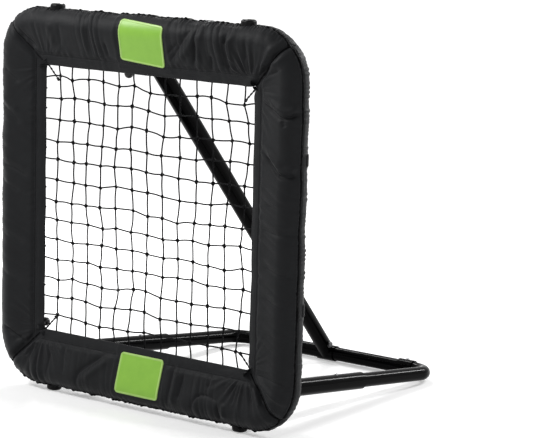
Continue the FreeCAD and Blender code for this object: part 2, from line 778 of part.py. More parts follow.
def feet():
    """Two feet under the bottom tube and two on top, each held by one countersunk screw from its sole."""
    body = foot()
    reach = "foot_width + 2 * cut_margin"
    screws = []
    for side, sign in (("bottom", 1), ("top", -1)):
        seat = middle_rod("tube_diameter + 2 * sliding_gap", reach, (0, 0, TUBE_BOTTOM_Z))
        well = rod("2 * foot_screw_diameter + cut_margin", "foot_screw_diameter")
        hole = rod("foot_screw_diameter", TUBE_BOTTOM_Z)
        shaped = cut(body, [seat, well, hole], "foot_" + side)
        flip = ("180" if sign < 0 else "0")
        level = "0" if sign > 0 else f"2 * {MIDDLE_Z}"
        right = keep(group([shaped]), f"foot_{side}_right", (FOOT_X, "0", level), (1, 0, 0), flip)
        mirror(right, f"foot_{side}_left")
        for hand in (-1, 1):
            seat_z = "foot_screw_diameter / 2"
            depth = f"{TUBE_BOTTOM_Z} - tube_diameter / 2 - {seat_z}"
            shank = rod("foot_screw_diameter - 2 * running_gap", depth, (0, 0, seat_z))
            head = rod("2 * foot_screw_diameter", "foot_screw_diameter / 2", (0, 0, seat_z))
            screws.append(place(fuse([shank, head]), (f"{hand} * {FOOT_X}", "0", level), (1, 0, 0), flip))
    keep(group(screws), "foot_screws")


# ---------------------------------------------------------------- brackets and bolts

EAR_HALF_LEG = "(leg_diameter / 2 + side_gap + ear_thickness)"
EAR_HALF_STRUT = "(strut_diameter / 2 + side_gap + ear_thickness)"


def bracket(half_width, reach):
    """Two ears on a saddle plate that is welded to a tube. The tube's axis is X and the bolt lies above it."""
    ears = []
    for sign in (-1, 1):
        middle = f"{sign} * ({half_width} - ear_thickness / 2)"
        ears.append(middle_rod("2 * eye_radius", "ear_thickness", (middle, "0", reach)))
        ears.append(block(("ear_thickness", "2 * eye_radius", reach), (middle, "0", f"{reach} / 2")))
    round_plate = middle_rod("tube_diameter + 2 * saddle_thickness", f"2 * {half_width}")
    keeper = block((f"2 * {half_width}", "tube_diameter * 2", "tube_diameter"), (0, 0, "tube_diameter / 2"))
    saddle = doc.addObject("Part::Common", "saddle")
    saddle.Base = round_plate
    saddle.Tool = keeper
    tube = middle_rod("tube_diameter", f"2 * ({half_width} + cut_margin)")
    hole = middle_rod("bolt_diameter + 2 * running_gap", f"2 * ({half_width} + cut_margin)", (0, 0, reach))
    return cut(fuse([saddle] + ears), [tube, hole], "bracket")


def bolt(half_width, diameter="bolt_diameter"):
    """A hex bolt along X through a joint, head on the right, long enough for its nut on the left."""
    tip = f"({half_width} + nut_height + bolt_proud)"
    shank = rod(diameter, f"{half_width} + {tip}", (f"-{tip}", "0", "0"), "X")
    head = hexagon("bolt_head_radius", "bolt_head_height", (half_width, "0", "0"))
    return fuse([shank, head], "bolt")


def nut(half_width, diameter="bolt_diameter"):
    """A lock nut on the bolt's left end, with a plain round collar."""
    start = f"-{half_width} - nut_height"
    solid = hexagon("bolt_head_radius", "nut_height", (start, "0", "0"))
    bore_start = (f"{start} - cut_margin", "0", "0")
    hole = rod(f"{diameter} + 2 * running_gap", "nut_height + 2 * cut_margin", bore_start, "X")
    return cut(solid, [hole], "nut")


def hinge_brackets():
    """Brackets on the bottom tube for the legs."""
    reach = f"sqrt(({HINGE_Z} - {TUBE_BOTTOM_Z}) ^ 2 + hinge_back ^ 2)"
    aim = f"-atan(hinge_back / ({HINGE_Z} - {TUBE_BOTTOM_Z}))"
    right = keep(bracket(EAR_HALF_LEG, reach), "hinge_bracket_right",
                 (LEG_X, "0", TUBE_BOTTOM_Z), (1, 0, 0), aim)
    mirror(right, "hinge_bracket_left")
    for make, label in ((bolt, "hinge_bolts"), (nut, "hinge_nuts")):
        pair = [place(make(EAR_HALF_LEG), (f"{sign} * {LEG_X}", "hinge_back", HINGE_Z)) for sign in (-1, 1)]
        keep(group(pair), label)


def strut_bracket():
    """The bracket at the middle of the top tube, hung from its underside and leaning back."""
    reach = "sqrt(strut_drop ^ 2 + strut_back ^ 2)"
    aim = "atan(strut_back / strut_drop) - 180 deg"
    pivot = (STRUT_X, "strut_back", STRUT_Z)
    keep(bracket(EAR_HALF_STRUT, reach), "strut_bracket", (STRUT_X, "0", TUBE_TOP_Z), (1, 0, 0), aim)
    keep(bolt(EAR_HALF_STRUT), "strut_bolt", pivot)
    keep(nut(EAR_HALF_STRUT), "strut_nut", pivot)


# ---------------------------------------------------------------- stand

def plug(outside, bore):
    """A moulded end plug for a tube that ends at the origin and comes from below, with a bevelled rim."""
    flange = rod(outside, "plug_flange")
    doc.recompute()
    rim = next(
        i + 1 for i, edge in enumerate(flange.Shape.Edges)
        if edge.Curve.TypeId == "Part::GeomCircle" and edge.CenterOfMass.z > flange.Shape.CenterOfMass.z
    )
    bevel = doc.addObject("Part::Chamfer", "plug_rim")
    bevel.Base = flange
    bevel.Edges = [(rim, value("plug_bevel"), value("plug_bevel"))]
    insert = rod(f"{bore} - 2 * sliding_gap", "plug_insert", (0, 0, "-plug_insert"))
    return fuse([bevel, insert], "plug")


def domed_pin(start, outside):
    """A snap button's pin along +Z, from a height to a domed top that stands past the tube's outside."""
    rounding = "button_diameter / 4"
    shoulder = f"({outside} + button_rise - {rounding})"
    shank = rod("button_diameter", f"{shoulder} - ({start})", (0, 0, start))
    dome = doc.addObject("Part::Ellipsoid", "dome")
    dome.setExpression("Radius1", bound(rounding))
    for prop in ("Radius2", "Radius3"):
        dome.setExpression(prop, bound("button_diameter / 2"))
    dome.Angle1 = 0
    dome.Angle2 = 90
    place(dome, (0, 0, shoulder))
    return [shank, dome]


LEG_PLACE = (LEG_X, "hinge_back", HINGE_Z)


def keep_leg(shape, label):
    """A leg piece drawn lying along +Y from the hinge, sloped down to the crossbar, and its left twin."""
    right = keep(shape, label + "_right", LEG_PLACE, (1, 0, 0), f"-{LEG_SLOPE}")
    return mirror(right, label + "_left")


def button_hole(at):
    return rod("button_diameter + 2 * running_gap", "leg_diameter", at, "Z")


def leg_upper():
    """The upper tube, narrowed inside where it holds the lower one."""
    outer = rod("leg_diameter", "leg_upper_end + leg_stub", ("0", "-leg_stub", "0"), "Y")
    start = ("0", "-leg_stub - cut_margin", "0")
    narrow = rod(LEG_BORE, "leg_upper_end + leg_stub + 2 * cut_margin", start, "Y")
    wide = rod(LEG_UPPER_BORE, "leg_upper_end - leg_overlap + leg_stub", start, "Y")
    bore = fuse([narrow, wide], "leg_bore")
    pivot = middle_rod("bolt_diameter + 2 * running_gap", "leg_diameter + 2 * cut_margin")
    hole = button_hole(("0", "leg_button_at", "0"))
    keep_leg(cut(outer, [bore, pivot, hole], "leg_tube"), "leg_upper")


def leg_lower():
    """A bent tube: inside the upper tube at one end, inside the crossbar's socket at the other."""
    body = doc.addObject("PartDesign::Body", "leg_bend")
    spine = new_sketch(body, "XY_Plane", "leg_spine")
    start = value("leg_upper_end - leg_overlap")
    corner = value("leg_length")
    radius = value("leg_bend_radius")
    end = value(f"{COLLAR_MOUTH} - collar_length - {LEG_X}")
    spine.addGeometry(Part.LineSegment(Vector(0, start, 0), Vector(0, corner - radius, 0)), False)
    spine.addGeometry(Part.ArcOfCircle(
        Part.Circle(Vector(-radius, corner - radius, 0), Vector(0, 0, 1), radius), 0, math.pi / 2), False)
    spine.addGeometry(Part.LineSegment(Vector(-radius, corner, 0), Vector(end, corner, 0)), False)
    spine.addConstraint(Sketcher.Constraint("Tangent", 0, 2, 1, 1))
    spine.addConstraint(Sketcher.Constraint("Tangent", 1, 2, 2, 1))
    spine.addConstraint(Sketcher.Constraint("Vertical", 0))
    spine.addConstraint(Sketcher.Constraint("Horizontal", 2))
    spine.addConstraint(Sketcher.Constraint("PointOnObject", 0, 1, -2))
    bounds = (
        ("start", "DistanceY", (-1, 1, 0, 1), "leg_upper_end - leg_overlap", start),
        ("corner", "DistanceY", (-1, 1, 2, 1), "leg_length", corner),
        ("bend", "Radius", (1,), "leg_bend_radius", radius),
        ("reach", "DistanceX", (2, 2, -1, 1), f"{LEG_X} + collar_length - {COLLAR_MOUTH}", -end),
    )
    for name, kind, ends, formula, size in bounds:
        number = spine.addConstraint(Sketcher.Constraint(kind, *ends, size))
        spine.renameConstraint(number, name)
        spine.setExpression("Constraints." + name, bound(formula))
    ring = new_sketch(body, "XZ_Plane", "leg_ring")
    ring.setExpression("AttachmentOffset.Base.z", bound("leg_overlap - leg_upper_end"))
    add_circle(ring, LEG_LOWER, "outer")
    add_circle(ring, f"{LEG_LOWER} - 2 * leg_lower_wall", "bore")
    pipe = body.newObject("PartDesign::AdditivePipe", "leg_pipe")
    pipe.Profile = ring
    pipe.Spine = (spine, ["Edge1", "Edge2", "Edge3"])
    holes = [button_hole(("0", "leg_button_at", "0")),
             button_hole((f"{CROSSBAR_BUTTON_X} - {LEG_X}", "leg_length", "0"))]
    keep_leg(cut(body, holes, "leg_bent_tube"), "leg_lower")


def leg_plug():
    """Moulded plug that closes the hinge end of the upper leg tube."""
    closed = place(plug("leg_diameter", LEG_UPPER_BORE), ("0", "-leg_stub", "0"), (1, 0, 0), "90")
    keep_leg(group([closed]), "leg_plug")


def crossbar():
    """The floor tube, with a swaged socket at each end and a snap button hole in each socket."""
    inner_end = f"({COLLAR_MOUTH} - collar_length - collar_floor)"
    solids = [middle_rod(LEG_LOWER, f"2 * ({inner_end} + cut_margin)")]
    tools = [middle_rod(f"{LEG_LOWER} - 2 * leg_lower_wall", f"2 * {COLLAR_MOUTH}")]
    for sign in (-1, 1):
        middle = f"{sign} * ({COLLAR_MOUTH} - (collar_length + collar_floor) / 2)"
        solids.append(middle_rod(COLLAR, "collar_length + collar_floor", (middle, "0", "0")))
        socket = f"{sign} * ({COLLAR_MOUTH} - collar_length / 2 + cut_margin)"
        tools.append(middle_rod(LEG_BORE, "collar_length + 2 * cut_margin", (socket, "0", "0")))
        hole = button_hole((f"{sign} * {CROSSBAR_BUTTON_X}", "0", "0"))
        tools.append(place(group([hole]), (0, 0, 0), (1, 0, 0), f"-{LEG_SLOPE}"))
    keep(cut(fuse(solids), tools, "crossbar_tube"), "crossbar", ("0", CROSSBAR_Y, CROSSBAR_Z))


def button(outside):
    """A snap button along +Z through the walls of two tubes, with a flange that stops it inside the inner one."""
    seat = f"sqrt(({LEG_LOWER} / 2 - leg_lower_wall) ^ 2 - (button_flange_diameter / 2) ^ 2)"
    start = f"({seat} - snug_gap - button_flange_thickness)"
    flange = rod("button_flange_diameter", "button_flange_thickness", (0, 0, start))
    return fuse(domed_pin(start, outside) + [flange], "button")


def leg_buttons():
    upper = place(button("leg_diameter / 2"), ("0", "leg_button_at", "0"))
    keep_leg(group([upper]), "leg_button")
    socket = place(button(f"{COLLAR} / 2"), (f"{CROSSBAR_BUTTON_X} - {LEG_X}", "leg_length", "0"))
    keep_leg(group([socket]), "crossbar_button")


# ---------------------------------------------------------------- strut

STRUT_PLACE = (STRUT_X, CROSSBAR_Y, CROSSBAR_Z)


def keep_strut(shape, label):
    """A strut piece drawn along +Z from the crossbar's axis, leaned forward to the top bracket."""
    return keep(shape, label, STRUT_PLACE, (1, 0, 0), STRUT_LEAN)


def strut_sleeve():
    """The sleeve that turns on the crossbar, with a spigot for the inner tube."""
    barrel = middle_rod(SLEEVE, "sleeve_length")
    stem = rod(f"{STRUT_INNER_BORE} - 2 * plug_gap", "sleeve_spigot_length")
    bore = middle_rod(f"{LEG_LOWER} + 2 * sliding_gap", "sleeve_length + 2 * cut_margin")
    hollow = rod(f"{STRUT_INNER_BORE} - 2 * plug_gap - 2 * sleeve_spigot_wall", "sleeve_spigot_length",
                 (0, 0, f"{SLEEVE} / 2"))
    hole = middle_rod("foot_bolt_diameter + 2 * running_gap", "strut_diameter", (0, 0, "foot_bolt_at"))
    keep_strut(cut(fuse([barrel, stem]), [bore, hollow, hole], "sleeve"), "strut_sleeve")


def strut_lower():
    """The inner tube: saddle-cut on the sleeve, with the two lock holes on its upper side."""
    tube = rod(STRUT_INNER, "strut_lower_end")
    tools = [
        rod(STRUT_INNER_BORE, "strut_lower_end + 2 * cut_margin", (0, 0, "-cut_margin")),
        middle_rod(f"{SLEEVE} + 2 * plug_gap", "2 * strut_diameter"),
        block(("strut_diameter", "2 * strut_diameter", SLEEVE), (0, 0, f"-{SLEEVE} / 2")),
        middle_rod("foot_bolt_diameter + 2 * running_gap", "strut_diameter", (0, 0, "foot_bolt_at")),
    ]
    for at in ("strut_button_at", "strut_button_at - strut_travel"):
        tools.append(rod("button_diameter + 2 * snug_gap", "strut_diameter", (0, 0, at), "Y"))
    keep_strut(cut(tube, tools, "inner_tube"), "strut_lower_tube")


def strut_foot_bolt():
    """The cross bolt that ties the inner tube to the sleeve."""
    half = f"({STRUT_INNER} / 2 + plug_gap)"
    at = (0, 0, "foot_bolt_at")
    keep_strut(group([place(bolt(half, "foot_bolt_diameter"), at)]), "strut_foot_bolt")
    keep_strut(group([place(nut(half, "foot_bolt_diameter"), at)]), "strut_foot_nut")


def strut_upper():
    """The outer tube: a hole for the lock button low down and a slot for the bracket's bolt at the top."""
    start = "strut_upper_from"
    length = f"{STRUT_LENGTH} + strut_top_stub - {start}"
    tube = rod("strut_diameter", length, (0, 0, start))
    slot_width = "(bolt_diameter + 2 * pivot_slot_side_play)"
    slot = [block(("strut_diameter + 2 * cut_margin", slot_width, "2 * pivot_slot_play"), (0, 0, STRUT_LENGTH))]
    for sign in (-1, 1):
        end = f"{STRUT_LENGTH} + {sign} * pivot_slot_play"
        slot.append(middle_rod(slot_width, "strut_diameter + 2 * cut_margin", (0, 0, end)))
    tools = slot + [
        rod(STRUT_BORE, f"{length} + 2 * cut_margin", (0, 0, f"{start} - cut_margin")),
        rod("button_diameter + 2 * running_gap", "strut_diameter", (0, 0, "strut_button_at"), "Y"),
    ]
    keep_strut(cut(tube, tools, "outer_tube"), "strut_upper_tube")
    closed = place(plug("strut_diameter", STRUT_BORE), (0, 0, f"{STRUT_LENGTH} + strut_top_stub"))
    keep_strut(group([closed]), "strut_top_plug")


def strut_button():
    """The lock button in the outer tube. Pressed, its stem goes down into the inner tube's hole."""
    pin = fuse(domed_pin(f"{STRUT_BORE} / 2 - sliding_gap / 2", "strut_diameter / 2"), "lock_button")
    upright = place(pin, (0, 0, "strut_button_at"), (1, 0, 0), "-90")
    keep_strut(group([upright]), "strut_button")


# ---------------------------------------------------------------- the whole part

def build():
    frame_tubes()
    frame_corners()
    frame_screws()
    foam()
    covers()
    patches()
    drawcord()
    straps()
    net()
    border_rope()
    bungees()
    corner_ties()
    feet()
    hinge_brackets()
    strut_bracket()
    leg_upper()
    leg_lower()
    leg_plug()
    crossbar()
    leg_buttons()
    strut_sleeve()
    strut_lower()
    strut_foot_bolt()
    strut_upper()
    strut_button()
    doc.recompute()


def check():
    """Stop if any object failed to compute or any piece isn't a valid solid."""
    for thing in doc.Objects:
        if "Invalid" in thing.State or "Error" in thing.State:
            raise RuntimeError(f"{thing.Name} ({thing.Label}) failed: {thing.State}")
    for piece in PIECES:
        if piece.Shape.isNull() or not piece.Shape.isValid() or not piece.Shape.Solids:
            raise RuntimeError(f"{piece.Label} has no valid solid")


build()
check()
os.makedirs("parts", exist_ok=True)
for piece in PIECES:
    piece.Shape.exportStep(f"parts/{piece.Label}.step")
    print(f"{piece.Label}: {len(piece.Shape.Solids)} solid(s), {piece.Shape.Volume / 1000:.2f} cm3")
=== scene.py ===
"""The square rebounder's looks: cloth cover, patches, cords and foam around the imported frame.

Lengths in the tables below are millimetres about the frame's middle; every mesh is built in metres.
"""
import bmesh
import bpy
import math
import numpy as np
from mathutils import Matrix, Vector


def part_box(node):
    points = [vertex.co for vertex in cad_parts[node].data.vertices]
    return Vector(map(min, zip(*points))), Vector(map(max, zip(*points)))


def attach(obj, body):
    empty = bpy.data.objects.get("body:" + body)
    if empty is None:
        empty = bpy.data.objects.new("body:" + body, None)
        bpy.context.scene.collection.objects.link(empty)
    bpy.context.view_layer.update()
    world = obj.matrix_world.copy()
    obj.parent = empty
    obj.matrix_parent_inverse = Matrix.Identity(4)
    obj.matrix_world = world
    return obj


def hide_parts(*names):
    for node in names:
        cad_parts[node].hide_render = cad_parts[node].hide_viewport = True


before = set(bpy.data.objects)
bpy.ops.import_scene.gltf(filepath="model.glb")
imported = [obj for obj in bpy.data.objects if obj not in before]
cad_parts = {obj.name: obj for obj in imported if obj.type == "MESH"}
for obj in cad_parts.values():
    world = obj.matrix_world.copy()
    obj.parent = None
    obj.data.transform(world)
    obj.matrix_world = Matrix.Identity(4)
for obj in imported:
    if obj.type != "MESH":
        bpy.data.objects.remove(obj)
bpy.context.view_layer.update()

MM = 0.001
SIDES = ("top", "right", "bottom", "left")
SEED = 11
LYING = (0, 2)

rope_low, rope_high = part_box("net_rope")
MIDDLE = np.array([(a + b) / 2 for a, b in zip(rope_low, rope_high)])
PANEL_Y = MIDDLE[1]

# ---------------------------------------------------------------- sizes of the panel, in millimetres

FRAME_HALF = 420
TUBE_HALF = 387
CORNER_RADIUS = 77
STRAIGHT_HALF = 310
FOAM_RADIUS = 25
FOAM_BORE_RADIUS = 19.3
FOAM_STEP = 6.0
FOAM_FOOT_GAP = 17.3
FOAM_BRACKET_GAP = 25.7
COVER_RADIUS = 33
CLOTH = 0.9
HEM_HALF = 295
HEM_DEPTH = 8
BACK_ANGLE = 78
NET_HALF = 308
NET_PITCH = 44
NET_CELLS = 14
NET_CORD = 3
NET_SLACK = 1.6
ROPE_LOOP = 5.4
ROPE_RADIUS = 4
ROPE_CORNER = 20
FOOT_X = 268
LEG_X = 286
STRUT_X = -14
STRAP_X = 154
STRAP_HALF_THICKNESS = 0.75
X_AXIS = np.array((1.0, 0.0, 0.0))
Y_AXIS = np.array((0.0, 1.0, 0.0))


# ---------------------------------------------------------------- camera

def add_camera():
    """The photograph's view: lens and shifts, then heading, pitch and roll."""
    heading, pitch, roll = math.radians(39.06), math.radians(9.21), math.radians(1.31)
    data = bpy.data.cameras.new("camera")
    data.sensor_width = 36
    data.lens = 157.914607
    data.shift_x = 0.034269663
    data.shift_y = 0.00093632959
    camera = bpy.data.objects.new("camera", data)
    bpy.context.scene.collection.objects.link(camera)
    bpy.context.scene.camera = camera
    level = math.cos(pitch)
    ahead = Vector((-math.sin(heading) * level, math.cos(heading) * level, -math.sin(pitch)))
    right = Vector((math.cos(heading), math.sin(heading), 0))
    up = right.cross(ahead)
    rolled_right = right * math.cos(roll) + up * math.sin(roll)
    rolled_up = up * math.cos(roll) - right * math.sin(roll)
    matrix = Matrix((rolled_right, rolled_up, -ahead)).transposed().to_4x4()
    matrix.translation = Vector((3.2734, PANEL_Y - 3.6897, 1.2199))
    camera.matrix_world = matrix


# ---------------------------------------------------------------- materials

def new_material(name, color, roughness, **sockets):
    """A Principled material; numbers that are the same all over are set on its sockets."""
    material = bpy.data.materials.new(name)
    material.use_nodes = True
    shader = material.node_tree.nodes["Principled BSDF"]
    shader.inputs["Base Color"].default_value = (*color, 1)
    shader.inputs["Roughness"].default_value = roughness
    for key, value in sockets.items():
        shader.inputs[key.replace("_", " ")].default_value = value
    return material


def node(material, kind, inputs=None, **props):
    """A shader node of a material or of the world, with its inputs set or linked."""
    made = material.node_tree.nodes.new(kind)
    for key, value in props.items():
        setattr(made, key, value)
    for key, value in (inputs or {}).items():
        if isinstance(value, bpy.types.NodeSocket):
            material.node_tree.links.new(value, made.inputs[key])
        else:
            made.inputs[key].default_value = value
    return made


def math_of(material, operation, a, b=0.0):
    """The output of a math node."""
    return node(material, "ShaderNodeMath", {0: a, 1: b}, operation=operation).outputs[0]


def texture(material, kind, size, detail=3, roughness=0.6):
    """A factor over the material: noise or cells of a scale, or a plain weave of a pitch in metres."""
    where = node(material, "ShaderNodeTexCoord").outputs["Object"]
    if kind == "noise":
        inputs = {"Vector": where, "Scale": size, "Detail": detail, "Roughness": roughness}
        return node(material, "ShaderNodeTexNoise", inputs).outputs["Fac"]
    if kind == "cells":
        inputs = {"Vector": where, "Scale": size}
        return node(material, "ShaderNodeTexVoronoi", inputs).outputs["Distance"]
    axes = node(material, "ShaderNodeSeparateXYZ", {0: where}).outputs
    turns = (math_of(material, "MULTIPLY", axis, 2 * math.pi / size) for axis in axes)
    x, y, z = (math_of(material, "SINE", turn) for turn in turns)
    return math_of(material, "MULTIPLY", math_of(material, "ADD", x, y), z)


def shade(material, factor, dark, light):
    """Colour between two ends by a factor."""
    shader = material.node_tree.nodes["Principled BSDF"]
    mix = node(material, "ShaderNodeMix", {0: factor, 6: (*dark, 1), 7: (*light, 1)}, data_type="RGBA")
    material.node_tree.links.new(mix.outputs[2], shader.inputs["Base Color"])


def vary_roughness(material, factor, low, high):
    """Roughness between two ends by a factor."""
    shader = material.node_tree.nodes["Principled BSDF"]
    spread = node(material, "ShaderNodeMapRange", {0: factor, 1: 0.3, 2: 0.7, 3: low, 4: high})
    material.node_tree.links.new(spread.outputs[0], shader.inputs["Roughness"])


def bumps(material, *layers):
    """Bump layers, each (height, distance, strength), chained."""
    shader = material.node_tree.nodes["Principled BSDF"]
    last = None
    for height, distance, strength in layers:
        inputs = {"Height": height, "Distance": distance, "Strength": strength}
        if last:
            inputs["Normal"] = last
        last = node(material, "ShaderNodeBump", inputs).outputs[0]
    material.node_tree.links.new(last, shader.inputs["Normal"])


def make_materials():
    """Every material, with textures that shade it, vary its roughness and raise its surface."""
    made = {}

    def add(key, label, colour, roughness, shading, spread, layers, **sockets):
        """Shading is (texture, dark, light), spread (texture, low, high), and each layer
        (texture, distance, strength)."""
        kind, dark, light = shading
        made[key] = material = new_material(label, colour, roughness, **sockets)
        shade(material, texture(material, *kind), dark, light)
        if spread:
            vary_roughness(material, texture(material, *spread[0]), *spread[1:])
        bumps(material, *((texture(material, *height), *strengths) for height, *strengths in layers))

    add("nylon_cover", "cover nylon", (0.013, 0.0135, 0.015), 0.5,
        (("noise", 9), (0.0098, 0.0103, 0.0112), (0.0138, 0.0143, 0.0156)), (("noise", 30), 0.46, 0.58),
        ((("weave", 0.0011), 0.00006, 0.6), (("noise", 160, 4), 0.0006, 0.28)),
        Specular_IOR_Level=0.1, Sheen_Weight=0.03, Sheen_Roughness=0.4)
    add("thread", "thread", (0.02, 0.02, 0.022), 0.7,
        (("noise", 400), (0.012, 0.012, 0.013), (0.03, 0.03, 0.033)), None,
        ((("noise", 1500), 0.0002, 0.6),), Specular_IOR_Level=0.2)
    add("binding", "binding", (0.002, 0.002, 0.0022), 0.6,
        (("noise", 120), (0.001, 0.001, 0.0012), (0.0035, 0.0035, 0.0038)), None,
        ((("weave", 0.0012), 0.00008, 0.6), (("noise", 300, 3), 0.0006, 0.5)), Specular_IOR_Level=0.05)
    add("webbing", "webbing", (0.015, 0.015, 0.015), 0.75,
        (("noise", 300), (0.013, 0.013, 0.014), (0.033, 0.033, 0.034)), None,
        ((("weave", 0.0022), 0.0003, 0.9), (("noise", 900), 0.0002, 0.4)), Specular_IOR_Level=0.2)
    add("foam", "foam", (0.05, 0.05, 0.052), 0.95,
        (("cells", 700.0), (0.03, 0.03, 0.031), (0.075, 0.075, 0.078)), None,
        ((("cells", 700.0), 0.0006, 0.9), (("noise", 60), 0.001, 0.3)))
    add("net_twine", "net twine", (0.004, 0.004, 0.0045), 0.75,
        (("noise", 500), (0.002, 0.002, 0.0024), (0.007, 0.007, 0.0078)), None,
        ((("noise", 1400, 2, 0.5), 0.0006, 0.9),), Specular_IOR_Level=0.08)
    add("black_elastic", "black elastic", (0.008, 0.008, 0.009), 0.65,
        (("cells", 1100.0), (0.004, 0.004, 0.005), (0.016, 0.016, 0.017)), None,
        ((("cells", 1100.0), 0.0004, 0.8),), Specular_IOR_Level=0.2)
    add("ball_plastic", "ball plastic", (0.008, 0.008, 0.009), 0.28,
        (("noise", 60), (0.005, 0.005, 0.006), (0.011, 0.011, 0.012)), None,
        ((("noise", 500), 0.0001, 0.3),), Specular_IOR_Level=0.3)
    add("green_patch", "green patch", (0.27, 0.56, 0.05), 0.45,
        (("noise", 40), (0.235, 0.515, 0.045), (0.31, 0.61, 0.062)), None,
        ((("noise", 1200), 0.00012, 0.5), (("noise", 45), 0.0008, 0.2)))
    add("patch_rim", "patch rim", (0.42, 0.68, 0.16), 0.42,
        (("noise", 60), (0.38, 0.64, 0.13), (0.48, 0.74, 0.2)), None,
        ((("noise", 900), 0.00012, 0.5),))
    add("moulded_black", "moulded black", (0.003, 0.003, 0.0033), 0.35,
        (("noise", 80), (0.0016, 0.0016, 0.0018), (0.0045, 0.0045, 0.0048)), (("noise", 200), 0.3, 0.42),
        ((("noise", 1600, 2), 0.0001, 0.6),), Specular_IOR_Level=0.1)
    for name, dark, light, low, high in (
        ("frame_steel", (0.003, 0.003, 0.0035), (0.006, 0.006, 0.0066), 0.3, 0.4),
        ("black_steel", (0.0006, 0.0006, 0.0007), (0.0013, 0.0013, 0.0015), 0.1, 0.14),
        ("bracket_steel", (0.0012, 0.0012, 0.0014), (0.003, 0.003, 0.0033), 0.16, 0.26),
    ):
        add(name, name, light, low, (("noise", 25), dark, light), (("noise", 70), low, high),
            ((("noise", 900, 2), 0.00008, 0.3), (("noise", 60, 2), 0.0002, 0.1)), Specular_IOR_Level=0.03)
    for name, dark, light in (("zinc_steel", (0.06, 0.06, 0.062), (0.12, 0.12, 0.124)),
                              ("button_steel", (0.3, 0.3, 0.31), (0.45, 0.45, 0.46))):
        add(name, name, light, 0.3, (("noise", 300), dark, light), (("noise", 500), 0.24, 0.42),
            ((("noise", 1500), 0.00006, 0.5),), Metallic=1.0)
    return made


# ---------------------------------------------------------------- mesh building

class Shape:
    """Gathers grids, tubes and rings of points in millimetres about the panel's middle into one mesh."""

    def __init__(self):
        self.points = []
        self.faces = []
        self.count = 0

    def grid(self, points, close_rows=False, close_columns=False, drop=None):
        """Quads over rows and columns of points; drop marks the quads to leave out."""
        rows, columns = points.shape[:2]
        index = np.arange(rows * columns).reshape(rows, columns) + self.count
        if close_rows:
            index = np.vstack([index, index[:1]])
        if close_columns:
            index = np.hstack([index, index[:, :1]])
        quads = np.stack([index[:-1, :-1], index[1:, :-1], index[1:, 1:], index[:-1, 1:]], axis=-1)
        quads = quads.reshape(-1, 4) if drop is None else quads[~drop]
        self.points.append(points.reshape(-1, 3))
        self.faces.extend(quads.tolist())
        self.count += rows * columns

    def tube(self, path, radius, sides=8, closed=False):
        """A round tube along a path, which may be given a radius for each point."""
        path = np.asarray(path, float)
        size = np.broadcast_to(np.asarray(radius, float), (len(path),))[:, None]
        rows = rings(path, size, circle(sides), closed)
        if not closed:
            rows = np.concatenate([gathered(path[:1], sides), rows, gathered(path[-1:], sides)])
        self.grid(rows, close_rows=closed, close_columns=True)


def weld(mesh, distance):
    """Joins the points that lie together, and turns the faces outwards."""
    work = bmesh.new()
    work.from_mesh(mesh)
    bmesh.ops.remove_doubles(work, verts=work.verts, dist=distance)
    bmesh.ops.recalc_face_normals(work, faces=work.faces)
    work.to_mesh(mesh)
    work.free()


def hand_in(shape, name, material, replaced=None, merge=0.0):
    """Makes a shape a mesh that rides with the net frame, in place of the CAD node it stands for."""
    points = np.concatenate(shape.points) * MM + MIDDLE
    mesh = bpy.data.meshes.new(name)
    mesh.from_pydata(points.tolist(), [], shape.faces)
    mesh.validate()
    made = bpy.data.objects.new(name, mesh)
    bpy.context.scene.collection.objects.link(made)
    mesh.materials.append(MATERIALS[material])
    if merge:
        weld(mesh, merge)
    mesh.polygons.foreach_set("use_smooth", [True] * len(mesh.polygons))
    mesh.update()
    if replaced:
        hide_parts(replaced)
    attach(made, "net_frame")
    return made


def circle(count):
    """Angles evenly round a circle."""
    return np.linspace(0, 2 * math.pi, count, endpoint=False)


def rings(path, size, swing, closed):
    """Circles about the points of a path; size is one radius for each circle or one for each angle."""
    across, up = frames_along(path, closed)
    swing = swing[None, :, None]
    return path[:, None] + size[..., None] * (np.cos(swing) * across[:, None] + np.sin(swing) * up[:, None])


def gathered(point, count):
    """A row of points at one place, which closes an end."""
    return np.repeat(point[None], count, axis=1)


def unit(v):
    """Vectors made one long."""
    return v / np.maximum(np.linalg.norm(v, axis=-1, keepdims=True), 1e-9)


def frames_along(path, closed):
    """A normal and a binormal at each point, carried along without twisting."""
    if closed:
        ahead = unit(np.roll(path, -1, axis=0) - np.roll(path, 1, axis=0))
    else:
        ahead = unit(np.gradient(path, axis=0))
    last = Y_AXIS if abs(ahead[0][1]) < 0.9 else X_AXIS
    normals = []
    for t in ahead:
        last = last - t * (last @ t)
        last = last / max(np.linalg.norm(last), 1e-9)
        normals.append(last)
    normals = np.array(normals)
    if closed:
        final = normals[-1] - ahead[0] * (normals[-1] @ ahead[0])
        final = final / np.linalg.norm(final)
        slip = math.atan2(np.cross(final, normals[0]) @ ahead[0], final @ normals[0])
        turn = slip * np.arange(len(path)) / len(path)
        side = np.cross(ahead, normals)
        normals = normals * np.cos(turn)[:, None] + side * np.sin(turn)[:, None]
    return normals, np.cross(ahead, normals)


def travelled(line):
    """The length of a line up to each of its points."""
    return np.concatenate([[0], np.cumsum(np.linalg.norm(np.diff(line, axis=0), axis=1))])


def picked(at, along, rows):
    """The rows' values at given lengths along a line."""
    return np.stack([np.interp(at, along, rows[:, i]) for i in range(3)], axis=1)


def resample(path, step, closed=False):
    """Points a step apart along a path."""
    path = np.asarray(path, float)
    if closed:
        path = np.vstack([path, path[:1]])
    along = travelled(path)
    at = np.linspace(0, along[-1], max(round(along[-1] / step), 3) + 1)
    return picked(at[:-1] if closed else at, along, path)


